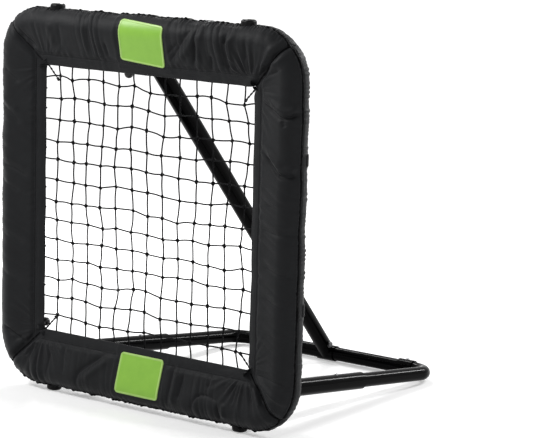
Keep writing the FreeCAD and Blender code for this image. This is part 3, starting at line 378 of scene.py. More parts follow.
def smooth_through(points, steps):
    """A Catmull-Rom line through points, with a number of steps between neighbours."""
    p = np.asarray(points, float)
    p = np.vstack([2 * p[0] - p[1], p, 2 * p[-1] - p[-2]])
    t = np.linspace(0, 1, steps, endpoint=False)[:, None]
    runs = []
    for i in range(1, len(p) - 2):
        a, b, c, d = p[i - 1], p[i], p[i + 1], p[i + 2]
        bend, twist = 2 * a - 5 * b + 4 * c - d, 3 * b - a - 3 * c + d
        runs.append(0.5 * (2 * b + (c - a) * t + bend * t ** 2 + twist * t ** 3))
    runs.append(p[-2][None])
    return np.vstack(runs)


def spun(points, angle):
    """Points turned about the panel's middle, from up towards the right."""
    x, y, z = points[..., 0], points[..., 1], points[..., 2]
    return np.stack([x * math.cos(angle) + z * math.sin(angle), y,
                     z * math.cos(angle) - x * math.sin(angle)], axis=-1)


def turned(points, turn):
    """Points of the top side, (along, y, outwards), turned to a side of the square."""
    return spun(points, math.pi / 2 * turn)


def ripple(x, rng, shortest, longest, count):
    """A smooth random line, about one high, made of waves whose lengths lie between two ends."""
    total = np.zeros_like(x)
    for _ in range(count):
        length = shortest * (longest / shortest) ** rng.random()
        total += np.sin(2 * math.pi * x / length + rng.uniform(0, 2 * math.pi))
    return total / math.sqrt(count)


def bump(x, width):
    """1 at nought, fading to 0 at a few widths."""
    return np.exp(-(x / width) ** 2)


def step(x, start, end):
    """0 before start, 1 after end, smooth between."""
    t = np.clip((x - start) / (end - start), 0, 1)
    return t * t * (3 - 2 * t)


# ---------------------------------------------------------------- the cover's surface

LEAVE = math.degrees(-math.atan2(HEM_DEPTH, TUBE_HALF - HEM_HALF)
                     - math.acos(COVER_RADIUS / math.hypot(TUBE_HALF - HEM_HALF, HEM_DEPTH)))
ARC_END = 360 + LEAVE
ARC_LENGTH = COVER_RADIUS * math.radians(ARC_END - BACK_ANGLE)
PANEL_SLOPE = math.radians(LEAVE + 90)
PANEL_LENGTH = (TUBE_HALF - HEM_HALF - COVER_RADIUS * math.cos(math.radians(LEAVE))) / math.cos(PANEL_SLOPE)
CLOTH_LENGTH = ARC_LENGTH + PANEL_LENGTH
HEM_ROLL = 1.5
HEM_TURNING = 20
HEM_STRIP = 22
CASING_RADIUS = 2.6
COLUMNS, BACK_ROWS, PANEL_ROWS = 520, 58, 68

# the columns are evenly spaced up to here, and the mitre counts as this far
EVEN_TO = 240
MITRE_AT = 396

# openings in the top and bottom lengths: half-widths at each foot; middle and half-width at each bracket
FOOT_HOLE = (17, 15)
FOOT_HOLE_FROM = TUBE_HALF + 20
NOTCH_TO = TUBE_HALF + 6.5
# rows of points further forward than this keep their columns
FRONT_Y = -8
BRACKET_NOTCHES = {0: ((STRUT_X, 25.5),), 2: ((-LEG_X, 24), (LEG_X, 24))}

# where the outer seam runs on the section of each side, and where two sides' seams meet
SEAM_ANGLE = {0: 192, 1: 195, 2: 212, 3: 206}
SEAM_MEETS = 203

# each patch: its lean, its shifts along the side and inwards, and its height
PATCH_PLACE = {0: (math.radians(5), 0, -3.5, 91), 2: (0, -6, 9, 88)}
PATCH_LIFT = 1.2
PATCH_WIDTH = 122
PATCH_CORNER = 8
PATCH_EDGE_INSET = 18
PATCH_HALF_HEIGHT = 44
PATCH_MIDDLE = FRAME_HALF - PATCH_EDGE_INSET - PATCH_HALF_HEIGHT
# half-sizes of the cloth that is held flat under a patch
PATCH_FLAT_HALF = (66, 51)
# a patch's section: (inwards from its edge, height above the smoothed cloth); its rim ends at the sixth
PATCH_PROFILE = ((-0.2, -0.4), (-0.2, 0.7), (0.5, 1.25), (1.4, 1.35), (3.0, 1.35), (3.8, 1.2), (4.2, 0.8),
                 (5.0, 0.75), (12, 0.78), (22, 0.8), (32, 0.8), (40, 0.8))
RIM_END = 5

CORNER_AT = 405
FOLD_DEPTH = 1.9
# how hard each mitre is drawn in, and how thick its painted shade cord is: top left, top right, lower right,
# lower left
MITRE_DRAW = np.array((0.5, 1.15, 1.15, 0.85))

# folds of the front, listed in millimetres (x, z) about the middle: depth, half-width, then the line
FOLDS = (
    (-3, 4, (-361, 357), (-303, 310)),
    (-2.2, 4.5, (-354, 378), (-315, 326)),
    (2.2, 6, (-350, 352), (-306, 318)),
    (-1.8, 6, (-149, 404), (-142, 344), (-136, 322)),
    (1.2, 8, (-163, 402), (-160, 330)),
    (-1.6, 5, (-105, 362), (-100, 325)),
    (-1.4, 8, (-233, 392), (-237, 330)),
    (1.2, 9, (-262, 392), (-258, 335)),
    (-2.4, 6, (70, 325), (105, 362), (143, 405)),
    (-2, 5, (65, 343), (108, 374)),
    (2.2, 8, (92, 330), (130, 362), (165, 400)),
    (-3.6, 4.5, (155, 412), (147, 365), (138, 322)),
    (2, 7, (168, 405), (160, 360), (152, 325)),
    (-5, 5, (237, 404), (226, 371), (230, 338), (236, 318)),
    (3.2, 8, (254, 402), (243, 372), (246, 338)),
    (-2, 4, (192, 356), (186, 320)),
    (-1.6, 3.5, (77, 309), (173, 307)),
    (-2, 5, (286, 392), (281, 345)),
    (2.4, 7, (318, 340), (372, 352)),
    (-2.6, 5, (312, 316), (352, 326), (384, 340)),
    (-4.2, 3.6, (328, 268), (364, 251), (395, 241), (436, 259)),
    (3, 7, (340, 280), (372, 263), (400, 254), (432, 272)),
    (-1.8, 4, (386, 236), (394, 222)),
    (-5, 3.4, (331, 166), (366, 135), (388, 122), (428, 127)),
    (3.4, 7, (340, 178), (374, 149), (394, 136), (430, 141)),
    (-1.8, 5, (317, 10), (382, 2), (428, 5)),
    (1.4, 8, (325, 24), (425, 20)),
    (-1.8, 5, (335, -66), (395, -80), (426, -87)),
    (1.2, 8, (338, -50), (420, -68)),
    (-1.2, 6, (336, 60), (420, 54)),
    (-1.4, 6, (334, -130), (420, -152)),
    (-1.2, 7, (330, -205), (424, -214)),
    (-4.2, 4, (311, -298), (345, -334), (384, -377)),
    (-3, 4, (316, -304), (336, -330), (350, -360)),
    (-2.4, 5, (312, -296), (370, -300), (423, -312)),
    (2.6, 6, (322, -300), (378, -330), (412, -352)),
    (2.4, 6, (318, -318), (352, -368)),
    (-1.8, 4, (306, -322), (326, -360)),
    (-2.4, 6, (-358, 365), (-332, 350), (-303, 330)),
    (-1.8, 8, (-411, 203), (-380, 186), (-350, 156)),
    (1.4, 9, (-408, 224), (-356, 186)),
    (-1.6, 7, (-401, 286), (-352, 250)),
    (-1.8, 7, (-403, 70), (-366, 60), (-328, 42)),
    (1.2, 9, (-404, 90), (-334, 62)),
    (-1.5, 7, (-414, 36), (-350, 8)),
    (-1.5, 7, (-408, -84), (-338, -112)),
    (-1.2, 8, (-410, -170), (-346, -196)),
    (-3.4, 5, (-398, -294), (-366, -312), (-325, -336)),
    (-4, 4.5, (-298, -300), (-326, -326), (-362, -362)),
    (2.6, 6, (-300, -318), (-334, -354)),
    (-2.2, 5, (-308, -326), (-332, -362)),
    (-3.4, 6, (-96, -319), (-136, -346), (-168, -372), (-174, -402)),
    (2.2, 8, (-84, -330), (-122, -360), (-150, -384)),
    (-2.2, 5, (98, -309), (93, -404)),
    (-2.6, 5, (128, -322), (121, -388)),
    (1.8, 7, (110, -318), (108, -398)),
    (-2.2, 4, (160, -394), (176, -366), (204, -362), (231, -368)),
    (-3.2, 4, (231, -372), (235, -408)),
    (1.8, 6, (246, -366), (250, -404)),
    (-1.6, 6, (-258, -330), (-262, -396)),
    (-1.4, 6, (-222, -320), (-212, -384)),
    (-1.6, 5, (205, -312), (198, -350)),
    (-1.4, 6, (276, -318), (268, -372)),
)


def cross_section(t):
    """The smooth section, t along the cloth: up from the tube's axis, y, the normal's parts, the angle."""
    angle = np.radians(np.minimum(BACK_ANGLE + np.degrees(t / COVER_RADIUS), ARC_END))
    on_panel = np.clip(t - ARC_LENGTH, 0, None)
    up = -COVER_RADIUS * np.cos(angle) - on_panel * math.cos(PANEL_SLOPE)
    y = COVER_RADIUS * np.sin(angle) + on_panel * math.sin(PANEL_SLOPE)
    return up, y, -np.cos(angle), np.sin(angle), np.degrees(angle)


def half_side(radius):
    """Half of a side, mitre to mitre, where the cloth lies a radius from the corner's middle."""
    return STRAIGHT_HALF + np.where(radius > 0, radius * math.pi / 4, radius)


def corner_place(a, t, lift):
    """The top side's (x, y, z) at a place along it, -1 to 1 from mitre to mitre, and t along the cloth."""
    up, y, normal_up, normal_y, _ = cross_section(t)
    radius = CORNER_RADIUS + up
    s = np.abs(a) * MITRE_AT
    spread = (half_side(radius) - EVEN_TO) / (MITRE_AT - EVEN_TO)
    run = np.where(s < EVEN_TO, s, EVEN_TO + (s - EVEN_TO) * spread)
    past = np.where(radius > 0, np.clip(run - STRAIGHT_HALF, 0, None), 0)
    turn = past / np.maximum(radius, 1e-6)
    far = np.maximum(radius, 0) + normal_up * lift
    bent = turn > 0
    meeting = np.where(radius > 0, 0, normal_up * lift * np.abs(a) ** 12)
    straight = np.minimum(run, np.where(radius > 0, STRAIGHT_HALF, run)) + meeting
    x = np.where(bent, STRAIGHT_HALF + far * np.sin(turn), straight)
    z = np.where(bent, STRAIGHT_HALF + far * np.cos(turn), TUBE_HALF + up + normal_up * lift)
    return np.stack([np.sign(a) * x, y + normal_y * lift, z], axis=-1)


def beside(line, x, z):
    """How far places (x, z) lie from a line, and which share of its length comes before the nearest point."""
    away = np.full(x.shape, np.inf)
    place = np.zeros(x.shape)
    lengths = travelled(line)
    for (ax, az), (bx, bz), before in zip(line[:-1], line[1:], lengths):
        dx, dz = bx - ax, bz - az
        size = dx * dx + dz * dz
        t = np.clip(((x - ax) * dx + (z - az) * dz) / size, 0, 1)
        d = np.hypot(x - ax - t * dx, z - az - t * dz)
        closer = d < away
        away = np.where(closer, d, away)
        place = np.where(closer, before + t * math.sqrt(size), place)
    return away, place / lengths[-1]


def fold_lift(x, z):
    """Height of the listed folds at panel places (x, z); each fades at its ends and on the hem strip."""
    total = np.zeros_like(x)
    for depth, width, *line in FOLDS:
        line = smooth_through(line, 6)
        low, high = line.min(axis=0) - 4 * width, line.max(axis=0) + 4 * width
        near = (x > low[0]) & (x < high[0]) & (z > low[1]) & (z < high[1])
        if near.any():
            away, share = beside(line, x[near], z[near])
            fade = step(share, 0.0, 0.3) * (1 - step(share, 0.75, 1.0)) * 0.85 + 0.15
            valley = np.exp(-(np.hypot(away, 1.0) - 1.0) / (0.85 * width))
            total[near] += FOLD_DEPTH * depth * (valley if depth < 0 else bump(away, width)) * fade
    off_strip = step(np.maximum(np.abs(x), np.abs(z)) - HEM_HALF, HEM_STRIP - 8, HEM_STRIP + 6)
    return total * (0.25 + 0.75 * off_strip)


def seam_angle(turn, a):
    """Where the outer seam runs on the section; the four sides meet at the same angle in the mitres."""
    drift = 3 * a if turn == 1 else 0
    own = SEAM_ANGLE[turn] + drift
    return own + (SEAM_MEETS - own) * np.abs(a) ** 6


# The reliefs below are heights in millimetres over lengths in millimetres, or over degrees round the section:
# 90 is the back, 180 the outer side and 270 the front.

class Places:
    """Where points of one side lie: on the section, along the side and in the panel."""

    def __init__(self, turn, a, t):
        flat = corner_place(a, t, 0)
        world = turned(flat, turn)
        self.turn, self.a = turn, a
        self.lying = turn in LYING
        self.angle = cross_section(t)[4]
        self.x, self.z = world[..., 0], world[..., 2]
        self.side_x, self.outwards = flat[..., 0], flat[..., 2]
        self.along = np.abs(self.side_x)
        self.inner = self.outwards - HEM_HALF
        self.reach = np.hypot(self.along - HEM_HALF, self.inner)
        self.diagonal = (self.outwards - self.along) / math.sqrt(2)
        self.off_mitre = step(self.diagonal, 8, 60)
        self.flat_part = self.angle >= ARC_END - 0.5
        self.on_panel = step(self.inner, -2, 2) * self.flat_part


def swells(p):
    """Soft swells that are the same on both sides of a mitre."""
    rng = np.random.default_rng(SEED + 50)
    count = 14
    total = np.zeros_like(p.x)
    for _ in range(count):
        direction = rng.uniform(0, math.pi)
        length = rng.uniform(55, 170)
        phase = rng.uniform(0, 2 * math.pi)
        distance = p.x * math.cos(direction) + p.z * math.sin(direction)
        total += np.sin(2 * math.pi * distance / length + phase)
    return 0.72 * total / math.sqrt(count)


def wrinkles(p, rng):
    """Wrinkles across the band, which end before the mitres."""
    beyond = p.outwards - TUBE_HALF
    upright = ripple(p.side_x + 0.12 * beyond + 1.5 * ripple(p.outwards, rng, 50, 110, 3), rng, 22, 70, 6)
    strength = np.clip(0.45 + 0.6 * ripple(p.side_x + 0.3 * p.outwards, rng, 90, 260, 4), 0.08, 1.5)
    if p.lying:
        line, depth = upright, 1.9 * (0.5 + 0.5 * step(p.angle, 190, 250))
    else:
        line, depth = ripple(p.side_x - 0.45 * beyond, rng, 34, 120, 6), 1.1
    off_strip = 0.15 + 0.85 * step(p.inner, HEM_STRIP - 4, HEM_STRIP + 26)
    return depth * (np.abs(line) ** 0.8 - 0.6) * strength * p.off_mitre * off_strip


def gathers(p, rng):
    """Gathers towards the elastic in the back edge, stronger on the horizontal sides."""
    line = np.abs(ripple(p.side_x, rng, 13, 40, 6)) - 0.7
    near_seam = 1.1 if p.lying else 0.25
    amount = 1.9 * (1 - step(p.angle, 100, 215)) ** 1.3 + near_seam * (1 - step(p.angle, 196, 235))
    return amount * line * (0.6 + 0.4 * p.off_mitre)


def outer_seam(p, rng):
    """The seam between the front panel and the outer side: its puckers and its groove between two ridges."""
    off = (p.angle - seam_angle(p.turn, p.a)) * math.pi / 180 * COVER_RADIUS
    puckers = np.abs(ripple(p.side_x, rng, 12, 30, 6)) - 0.6
    depth = 1.3 if p.lying else 0.6
    groove = -2.2 * bump(off, 1.9) + 1.1 * bump(off - 4.5, 3.2) + 0.7 * bump(off + 5, 3)
    return (depth * puckers * bump(off - 2, 13) + groove) * ~p.flat_part


def front_panel(p, rng):
    """The puffed panel, and the hem strip with its seam and that seam's puckers."""
    puff = step(p.inner, HEM_STRIP, HEM_STRIP + 12) * step(p.diagonal, 0, 13)
    puff *= (1 - 0.5 * step(p.inner, 70, 115)) * np.where(p.flat_part, 1, step(p.angle, 215, ARC_END))
    seam = -1.3 * bump(p.inner - HEM_STRIP, 1.7) + 0.8 * bump(p.inner - HEM_STRIP / 2, 7)
    seam += 0.6 * ripple(p.side_x, rng, 14, 40, 5) * bump(p.inner - HEM_STRIP - 6, 9) * p.off_mitre
    return 3.0 * puff + p.on_panel * seam


def mitres(p):
    """The mitres drawn in along the diagonals, and gathers that fan out from the hem's corners."""
    drawn = MITRE_DRAW[(p.turn + (p.side_x > 0)) % 4]
    valley = 1.6 * bump(p.diagonal - 15, 7) - 4.6 * bump(p.diagonal, 5)
    valley *= 1 - 0.5 * step(p.reach, 100, 160)
    crease = -3.2 * np.exp(-np.abs(p.diagonal) / 1.7) * step(p.reach, 12, 34)
    round_corner = np.arctan2(p.inner + 6, p.along - HEM_HALF + 6 + 1e-6)
    fan = np.sin(round_corner * 22 + 2 * p.turn) + 0.6 * np.sin(round_corner * 35 + p.turn)
    fan *= (1.2 if p.lying else 0.6) * (0.08 + 0.92 * step(p.inner, HEM_STRIP - 4, HEM_STRIP + 14))
    fan *= step(p.diagonal, 3, 14) * (1 - step(p.reach, 40, 125)) * step(p.reach, 16, 46)
    return drawn * (valley + crease + fan) * step(p.angle, 150, 195)


def held_flat(p, lift):
    """The lift with the cloth flat under a patch, puckered round its edge, and held down under the straps."""
    if p.lying:
        _, shift_x, shift_in, _ = PATCH_PLACE[p.turn]
        over = np.maximum(np.abs(p.side_x - shift_x) / PATCH_FLAT_HALF[0],
                          np.abs(p.outwards - PATCH_MIDDLE + shift_in) / PATCH_FLAT_HALF[1])
        own = step(over, 0.96, 1.2)
        lift = lift * own + PATCH_LIFT * (1 - own) + 0.8 * bump(over - 1.1, 0.07) * (p.angle > 200)
    for strap in (-STRAP_X, STRAP_X):
        own = step(np.abs(p.side_x - strap), 13, 24)
        lift = np.where((p.angle < 178) & (own < 1), np.minimum(lift * own, 0.2), lift)
    return lift


def corners(p):
    """The lower left corner drawn in, and the upper left one fuller."""
    lower, upper = (np.hypot(p.x + CORNER_AT, p.z - z) for z in (-CORNER_AT, CORNER_AT))
    front = step(p.angle, 230, 285)
    return 2.0 * bump(upper, 60) * (1 - front) - 4.5 * bump(lower, 75) * (1 - 0.6 * front)


def cover_lift(turn, a, t):
    """How far the cloth stands off its smooth section, in millimetres."""
    rng = np.random.default_rng(SEED + turn)
    p = Places(turn, a, t)
    lift = swells(p) + wrinkles(p, rng)
    lift += fold_lift(p.x, p.z) * np.where(p.flat_part, 1, np.clip(p.angle - 200, 0, 30) / 30)
    lift += gathers(p, rng) + outer_seam(p, rng) + front_panel(p, rng) + mitres(p)
    lift = held_flat(p, lift) + corners(p)
    lowest = -1.2 - 1.6 * step(p.inner, HEM_STRIP, HEM_STRIP + 12)
    lowest -= 2.4 * bump(p.diagonal, 5) * step(p.reach, 32, 52)
    return np.clip(lift, np.where(p.on_panel > 0.5, lowest, -5.0), 8.0)


def cover_surface(turn, a, t, above=0.0):
    """Points of the cover's outer surface, or a little above it."""
    return corner_place(a, t, cover_lift(turn, a, t) + above)


def a_of(x, t):
    """The place along the side, -1 to 1, of a distance from its middle on the straight part."""
    half = half_side(CORNER_RADIUS + cross_section(t)[0])
    size = np.abs(x)
    s = np.where(size < EVEN_TO, size, EVEN_TO + (size - EVEN_TO) * (MITRE_AT - EVEN_TO) / (half - EVEN_TO))
    return np.sign(x) * s / MITRE_AT


def edge_frame(main, a, t, edge, inner):
    """A row at the cloth's edge: its points, the way along the cloth there, and the normal."""
    ahead = unit(main[[edge]] - main[[inner]])
    raised, smooth = (corner_place(a[[edge]], t[[edge]], lift) for lift in (1.0, 0.0))
    return main[[edge]], ahead, unit(raised - smooth)


def rolled(row, ahead, normal, radius, angles):
    """Rows that roll from a row of the cloth round a cord behind it."""
    middle = row - normal * radius
    swings = np.radians(angles)
    return [middle + radius * (normal * math.cos(swing) + ahead * math.sin(swing)) for swing in swings]


def make_cover(turn):
    """A length of the cover: casing round the elastic, back, outer side, front panel and hem."""
    t_row = np.concatenate([np.linspace(0, ARC_LENGTH, BACK_ROWS)[:-1],
                            np.linspace(ARC_LENGTH, CLOTH_LENGTH, PANEL_ROWS)])
    a, t = np.meshgrid(np.linspace(-1, 1, COLUMNS), t_row)
    main = cover_surface(turn, a, t)
    casing = rolled(*edge_frame(main, a, t, 0, 1), CASING_RADIUS, (290, 250, 210, 170, 130, 90, 50, 20))
    last, ahead, normal = edge_frame(main, a, t, -1, -2)
    hem = rolled(last, ahead, normal, HEM_ROLL, (30, 65, 100, 135, 165))
    limit = np.abs(last[..., 0])
    for inwards in (3, 8, 14, HEM_TURNING):
        turning = last - normal * (2 * HEM_ROLL + 0.4) - ahead * inwards
        turning[..., 0] = np.clip(turning[..., 0], -limit, limit)
        hem.append(turning)
    points = np.concatenate([*casing, main, *hem])
    drop = openings(points, turn)
    shape = Shape()
    shape.grid(turned(points, turn), drop=drop)
    cloth = hand_in(shape, "cover_cloth_" + SIDES[turn], "nylon_cover", "cover_" + SIDES[turn])
    thick = cloth.modifiers.new("cloth", "SOLIDIFY")
    thick.thickness = CLOTH * MM
    thick.offset = 1 if flips(cloth) else -1


def openings(points, turn):
    """The quads to leave out for feet and brackets; it moves points onto the edges of a bracket's notch."""
    middle = (points[:-1, :-1] + points[1:, 1:]) / 2
    x, y, z = middle[..., 0], middle[..., 1], middle[..., 2]
    drop = np.zeros(x.shape, bool)
    if turn in LYING:
        for foot in (-FOOT_X, FOOT_X):
            drop |= (np.abs(x - foot) < FOOT_HOLE[0]) & (np.abs(y) < FOOT_HOLE[1]) & (z > FOOT_HOLE_FROM)
        for across, half in BRACKET_NOTCHES[turn]:
            snap_columns(points, across, half)
            middle_x = (points[:-1, :-1, 0] + points[1:, 1:, 0]) / 2
            drop |= (np.abs(middle_x - across) < half) & (y > 0) & (z < NOTCH_TO)
    return drop


def flips(cloth):
    """Whether the mesh's faces look backwards at its middle, on the back of the front panel."""
    faces = cloth.data.polygons
    return faces[len(faces) // 2].normal.y > 0.5


def snap_columns(points, across, half):
    """Moves the columns nearest a notch's two edges onto them, on the back of the tube."""
    for edge in (across - half, across + half):
        for row in points:
            if row[0, 1] > FRONT_Y:
                near = np.argmin(np.abs(row[:, 0] - edge))
                row[near, 0] = edge


def stitch_row(shape, line, normals, length=3.0, gap=1.4, radius=0.42, sink=0.12):
    """Thread stitches laid along a line of points on a surface."""
    along = travelled(line)
    at = gap
    while at + length < along[-1]:
        t = at + length * np.array((0.0, 0.12, 0.5, 0.88, 1.0))
        rise = np.array((-1.2, 0.4, 0.8, 0.4, -1.2)) * radius - sink
        shape.tube(picked(t, along, line) + picked(t, along, normals) * rise[:, None], radius, sides=5)
        at += length + gap


def sewn(shape, turn, a, t, **stitch):
    """A row of stitches along a line on the cover."""
    line = cover_surface(turn, a, t)
    raised = cover_surface(turn, a, t, above=1.0)
    stitch_row(shape, turned(line, turn), turned(unit(raised - line), turn), **stitch)


def seam_place(turn, a):
    """How far along the cloth the outer seam lies."""
    return COVER_RADIUS * np.radians(seam_angle(turn, a) - BACK_ANGLE)


def make_stitching():
    """Rows of stitches on both sides of the hem strip's seam and beside the outer seam."""
    shape = Shape()
    for turn in range(4):
        for inner in (HEM_STRIP + 2.6, HEM_STRIP - 2.8):
            a = np.linspace(-0.985, 0.985, 420)
            sewn(shape, turn, a, np.full_like(a, CLOTH_LENGTH - inner / math.cos(PANEL_SLOPE)))
        a = np.linspace(-0.99, 0.99, 600)
        sewn(shape, turn, a, seam_place(turn, a) + 5.2, length=3.4, gap=1.6)
    hand_in(shape, "cover_stitching", "thread")


def make_binding_and_mitre_shade():
    """The puckered roll of binding along the whole outer seam, and dark cords along the mitres that are
    painted shade: they draw the shadow of each mitre's crease.
    """
    shape = Shape()
    rng = np.random.default_rng(SEED + 31)
    count = 420
    path = []
    for turn in range(4):
        a = np.linspace(-1, 1, count)[:-1]
        calm = (1 if turn in LYING else 0.4 + 0.6 * a ** 4) * (1 - a ** 30)
        t = seam_place(turn, a) + 1.6 * ripple(a * count, rng, 30, 90, 4) * calm
        off = 0.9 + 0.9 * ripple(a * count, rng, 9, 26, 5) * calm
        path.append(turned(cover_surface(turn, a, t, above=off), turn))
    path = np.concatenate(path)
    run = np.arange(len(path)) * 2.0
    size = 2.7 + 0.5 * ripple(run, rng, 9, 30, 5) + 0.6 * ripple(run, rng, 60, 200, 4)
    shape.tube(path, np.clip(size, 1.6, 4.2), sides=7, closed=True)
    # painted shade: a dark cord in the binding's black along each mitre, drawing the shadow of its crease
    for turn in range(4):
        t = np.linspace(COVER_RADIUS * math.radians(SEAM_MEETS - BACK_ANGLE), CLOTH_LENGTH - 5, 90)
        line = cover_surface(turn, np.ones_like(t), t, above=0.9)
        size = MITRE_DRAW[(turn + 1) % 4] * (1.2 + 0.3 * ripple(t, rng, 8, 30, 4))
        shape.tube(turned(line, turn), size, sides=7)
    hand_in(shape, "cover_binding_and_mitre_shade", "binding")


def patch_outline(height, inset, lift):
    """A ring of a patch: a rounded rectangle whose straights are split so that they can bend."""
    half_u, half_v = PATCH_WIDTH / 2 - inset, height / 2 - inset
    radius = max(PATCH_CORNER - inset, 1.2)
    steps = 8
    outline = []
    for sx, sv, start in ((1, 1, 0), (-1, 1, 90), (-1, -1, 180), (1, -1, 270)):
        for k in range(steps + 1):
            angle = math.radians(start + 90 * k / steps)
            outline.append((sx * (half_u - radius) + radius * math.cos(angle),
                            sv * (half_v - radius) + radius * math.sin(angle), lift))
    return densify(outline, 8)


def make_patches():
    """Moulded rubber patches: rings from the edge inwards, with a raised rim round a flat field."""
    outer = (HEM_HALF - (FRAME_HALF - PATCH_EDGE_INSET)) / math.cos(PANEL_SLOPE)
    middle = CLOTH_LENGTH + outer + PATCH_HALF_HEIGHT
    for turn in LYING:
        side = SIDES[turn]
        lean, shift_x, shift_in, height = PATCH_PLACE[turn]
        points = np.array([patch_outline(height, inset, lift) for inset, lift in PATCH_PROFILE])
        across = points[..., 0] * math.cos(lean) - points[..., 1] * math.sin(lean) + shift_x
        t = middle + (points[..., 0] * math.sin(lean) + points[..., 1] * math.cos(lean) + shift_in)
        placed = corner_place(a_of(across, t), t, PATCH_LIFT + 0.35 + points[..., 2])
        shape = Shape()
        shape.grid(turned(placed, turn), close_columns=True)
        field = np.concatenate([placed[-1:], gathered(placed[-1:].mean(axis=1), placed.shape[1])])
        shape.grid(turned(field, turn), close_columns=True)
        patch = hand_in(shape, "patch_plate_" + side, "green_patch", "patch_" + side, merge=0.00002)
        patch.data.materials.append(MATERIALS["patch_rim"])
        paint_rim(patch, turned(placed[RIM_END], turn) * MM + MIDDLE, lean)


def densify(outline, count):
    """Splits each straight of a closed outline, and repeats its end so that all rings have as many points."""
    points = []
    total = len(outline)
    for i in range(total):
        a, b = np.array(outline[i]), np.array(outline[(i + 1) % total])
        long = np.linalg.norm(b[:2] - a[:2]) > 12
        for k in range(count if long else 1):
            points.append(a + (b - a) * k / (count if long else 1))
    while len(points) < total + 4 * (count - 1):
        points.append(points[-1])
    return points


def paint_rim(patch, border, lean):
    """Gives the faces outside a closed line, which leans in the panel, the rim's material."""
    def upright(x, z):
        return np.array((x * math.cos(lean) - z * math.sin(lean), x * math.sin(lean) + z * math.cos(lean)))

    line = upright(border[:, 0], border[:, 2])
    low, high = line.min(axis=1), line.max(axis=1)
    for face in patch.data.polygons:
        share = np.abs(upright(face.center.x, face.center.z) - (low + high) / 2) / ((high - low) / 2)
        if share.max() > 0.985:
            face.material_index = 1


# ---------------------------------------------------------------- foam

def make_foam():
    """Foam sleeves and corners: soft, slightly uneven rings with rounded ends."""
    foot = FOOT_X - FOAM_FOOT_GAP
    spans = {
        0: ((STRUT_X + FOAM_BRACKET_GAP, foot), (-foot, STRUT_X - FOAM_BRACKET_GAP)),
        1: ((-STRAIGHT_HALF, STRAIGHT_HALF),),
        2: ((-foot, foot),),
        3: ((-STRAIGHT_HALF, STRAIGHT_HALF),),
    }
    for turn, side in enumerate(SIDES):
        shape = Shape()
        for start, end in spans[turn]:
            x = np.linspace(start + 0.4, end - 0.4, int((end - start) / FOAM_STEP))
            foam_ring(shape, x, np.full_like(x, TUBE_HALF), turn)
        finish_foam(shape, side)
    shape = Shape()
    for turn in range(4):
        angle = np.radians(np.linspace(0.3, 89.7, 26))
        x, z = (STRAIGHT_HALF + CORNER_RADIUS * part for part in (np.sin(angle), np.cos(angle)))
        foam_ring(shape, x, z, turn)
    finish_foam(shape, "corners")


def foam_ring(shape, x, z, turn):
    """One length of foam along places of a side: uneven outside and drawn in at its ends, smooth inside."""
    path = np.stack([x, np.zeros_like(x), z], axis=1)
    rng = np.random.default_rng(SEED + 70 + turn + len(path))
    swing = circle(28)
    size = np.full((len(path), len(swing)), float(FOAM_RADIUS))
    for k in range(4):
        uneven = 0.125 * ripple(np.arange(len(path)) * FOAM_STEP, rng, 40, 160, 4)
        size += uneven[:, None] * np.cos(k * swing + k)
    size = np.minimum(size, FOAM_RADIUS + 0.25)
    size[[0, -1]] -= 1.6
    size[[1, -2]] -= 0.3
    outer = rings(path, size, swing, False)
    inner = rings(path, np.full_like(size, FOAM_BORE_RADIUS), swing, False)
    shape.grid(turned(np.concatenate([outer, inner[::-1]]), turn), close_rows=True, close_columns=True)


def finish_foam(shape, part):
    """Hands in a foam piece as a full pad."""
    pad = hand_in(shape, "foam_" + part + "_pad", "foam", "foam_" + part, merge=0.000001)


# ---------------------------------------------------------------- net

def net_nodes():
    """The knots' places: a regular grid pulled slightly out of true, more in its top rows."""
    rng = np.random.default_rng(SEED + 5)
    half = NET_CELLS // 2 - 1
    size = 2 * half + 1
    place = np.zeros((size, size, 3))
    drift = rng.normal(0, 1, (size, size, 3))
    smooth = drift.copy()
    for _ in range(2):
        padded = np.pad(smooth, ((1, 1), (1, 1), (0, 0)), mode="edge")
        around_it = padded[:-2, 1:-1] + padded[2:, 1:-1] + padded[1:-1, :-2] + padded[1:-1, 2:]
        smooth = (padded[1:-1, 1:-1] * 2 + around_it) / 6
    for i in range(size):
        for j in range(size):
            x, z = (i - half) * NET_PITCH, (j - half) * NET_PITCH
            dx, dy, dz = smooth[i, j] * (6.5, 1.6, 6.5) + drift[i, j] * (1.3, 0.3, 1.3)
            if j == size - 1:
                dz += rng.uniform(-7, 3)
            if i in (0, size - 1):
                dx += rng.uniform(-3, 3)
            place[i, j] = (x + dx, np.clip(dy, -1.6, 1.6), z + dz)
    return place


def cord_run(points, rng):
    """A cord through its knots, bowed a little between neighbours."""
    path = [points[0]]
    for a, b in zip(points[:-1], points[1:]):
        bow = rng.uniform(-1, 1, 3) * (NET_SLACK, 0.5, NET_SLACK)
        path += [(a + b) / 2 + bow, b]
    return smooth_through(path, 5)


def make_net():
    """Cords through the knots both ways, each looped round the border rope at both ends."""
    rng = np.random.default_rng(SEED + 6)
    nodes = net_nodes()
    size = len(nodes)
    end = NET_HALF - ROPE_LOOP
    shape = Shape()
    for k in range(size):
        true = (k - size // 2) * NET_PITCH
        left, right, low, high = (own * 0.3 + true * 0.7 for own in
                                  (nodes[0, k, 2], nodes[-1, k, 2], nodes[k, 0, 0], nodes[k, -1, 0]))
        row = [(-end, 0, left), *nodes[:, k], (end, 0, right)]
        column = [(low, 0, -end), *nodes[k], (high, 0, end)]
        for line in (np.array(row), np.array(column)):
            shape.tube(cord_run(line, rng), NET_CORD / 2 * 1.15, sides=7)
            for tip, inwards in ((line[0], line[1]), (line[-1], line[-2])):
                outwards = unit(tip - inwards)
                loop = loop_about(tip + outwards * ROPE_LOOP, ROPE_RADIUS + 1.3, -outwards)
                shape.tube(loop, 1.3, sides=6, closed=True)
    for place in nodes.reshape(-1, 3):
        knot(shape, place, rng, rng.uniform(1.05, 1.3), 1.6)
    hand_in(shape, "net_mesh", "net_twine", "net")


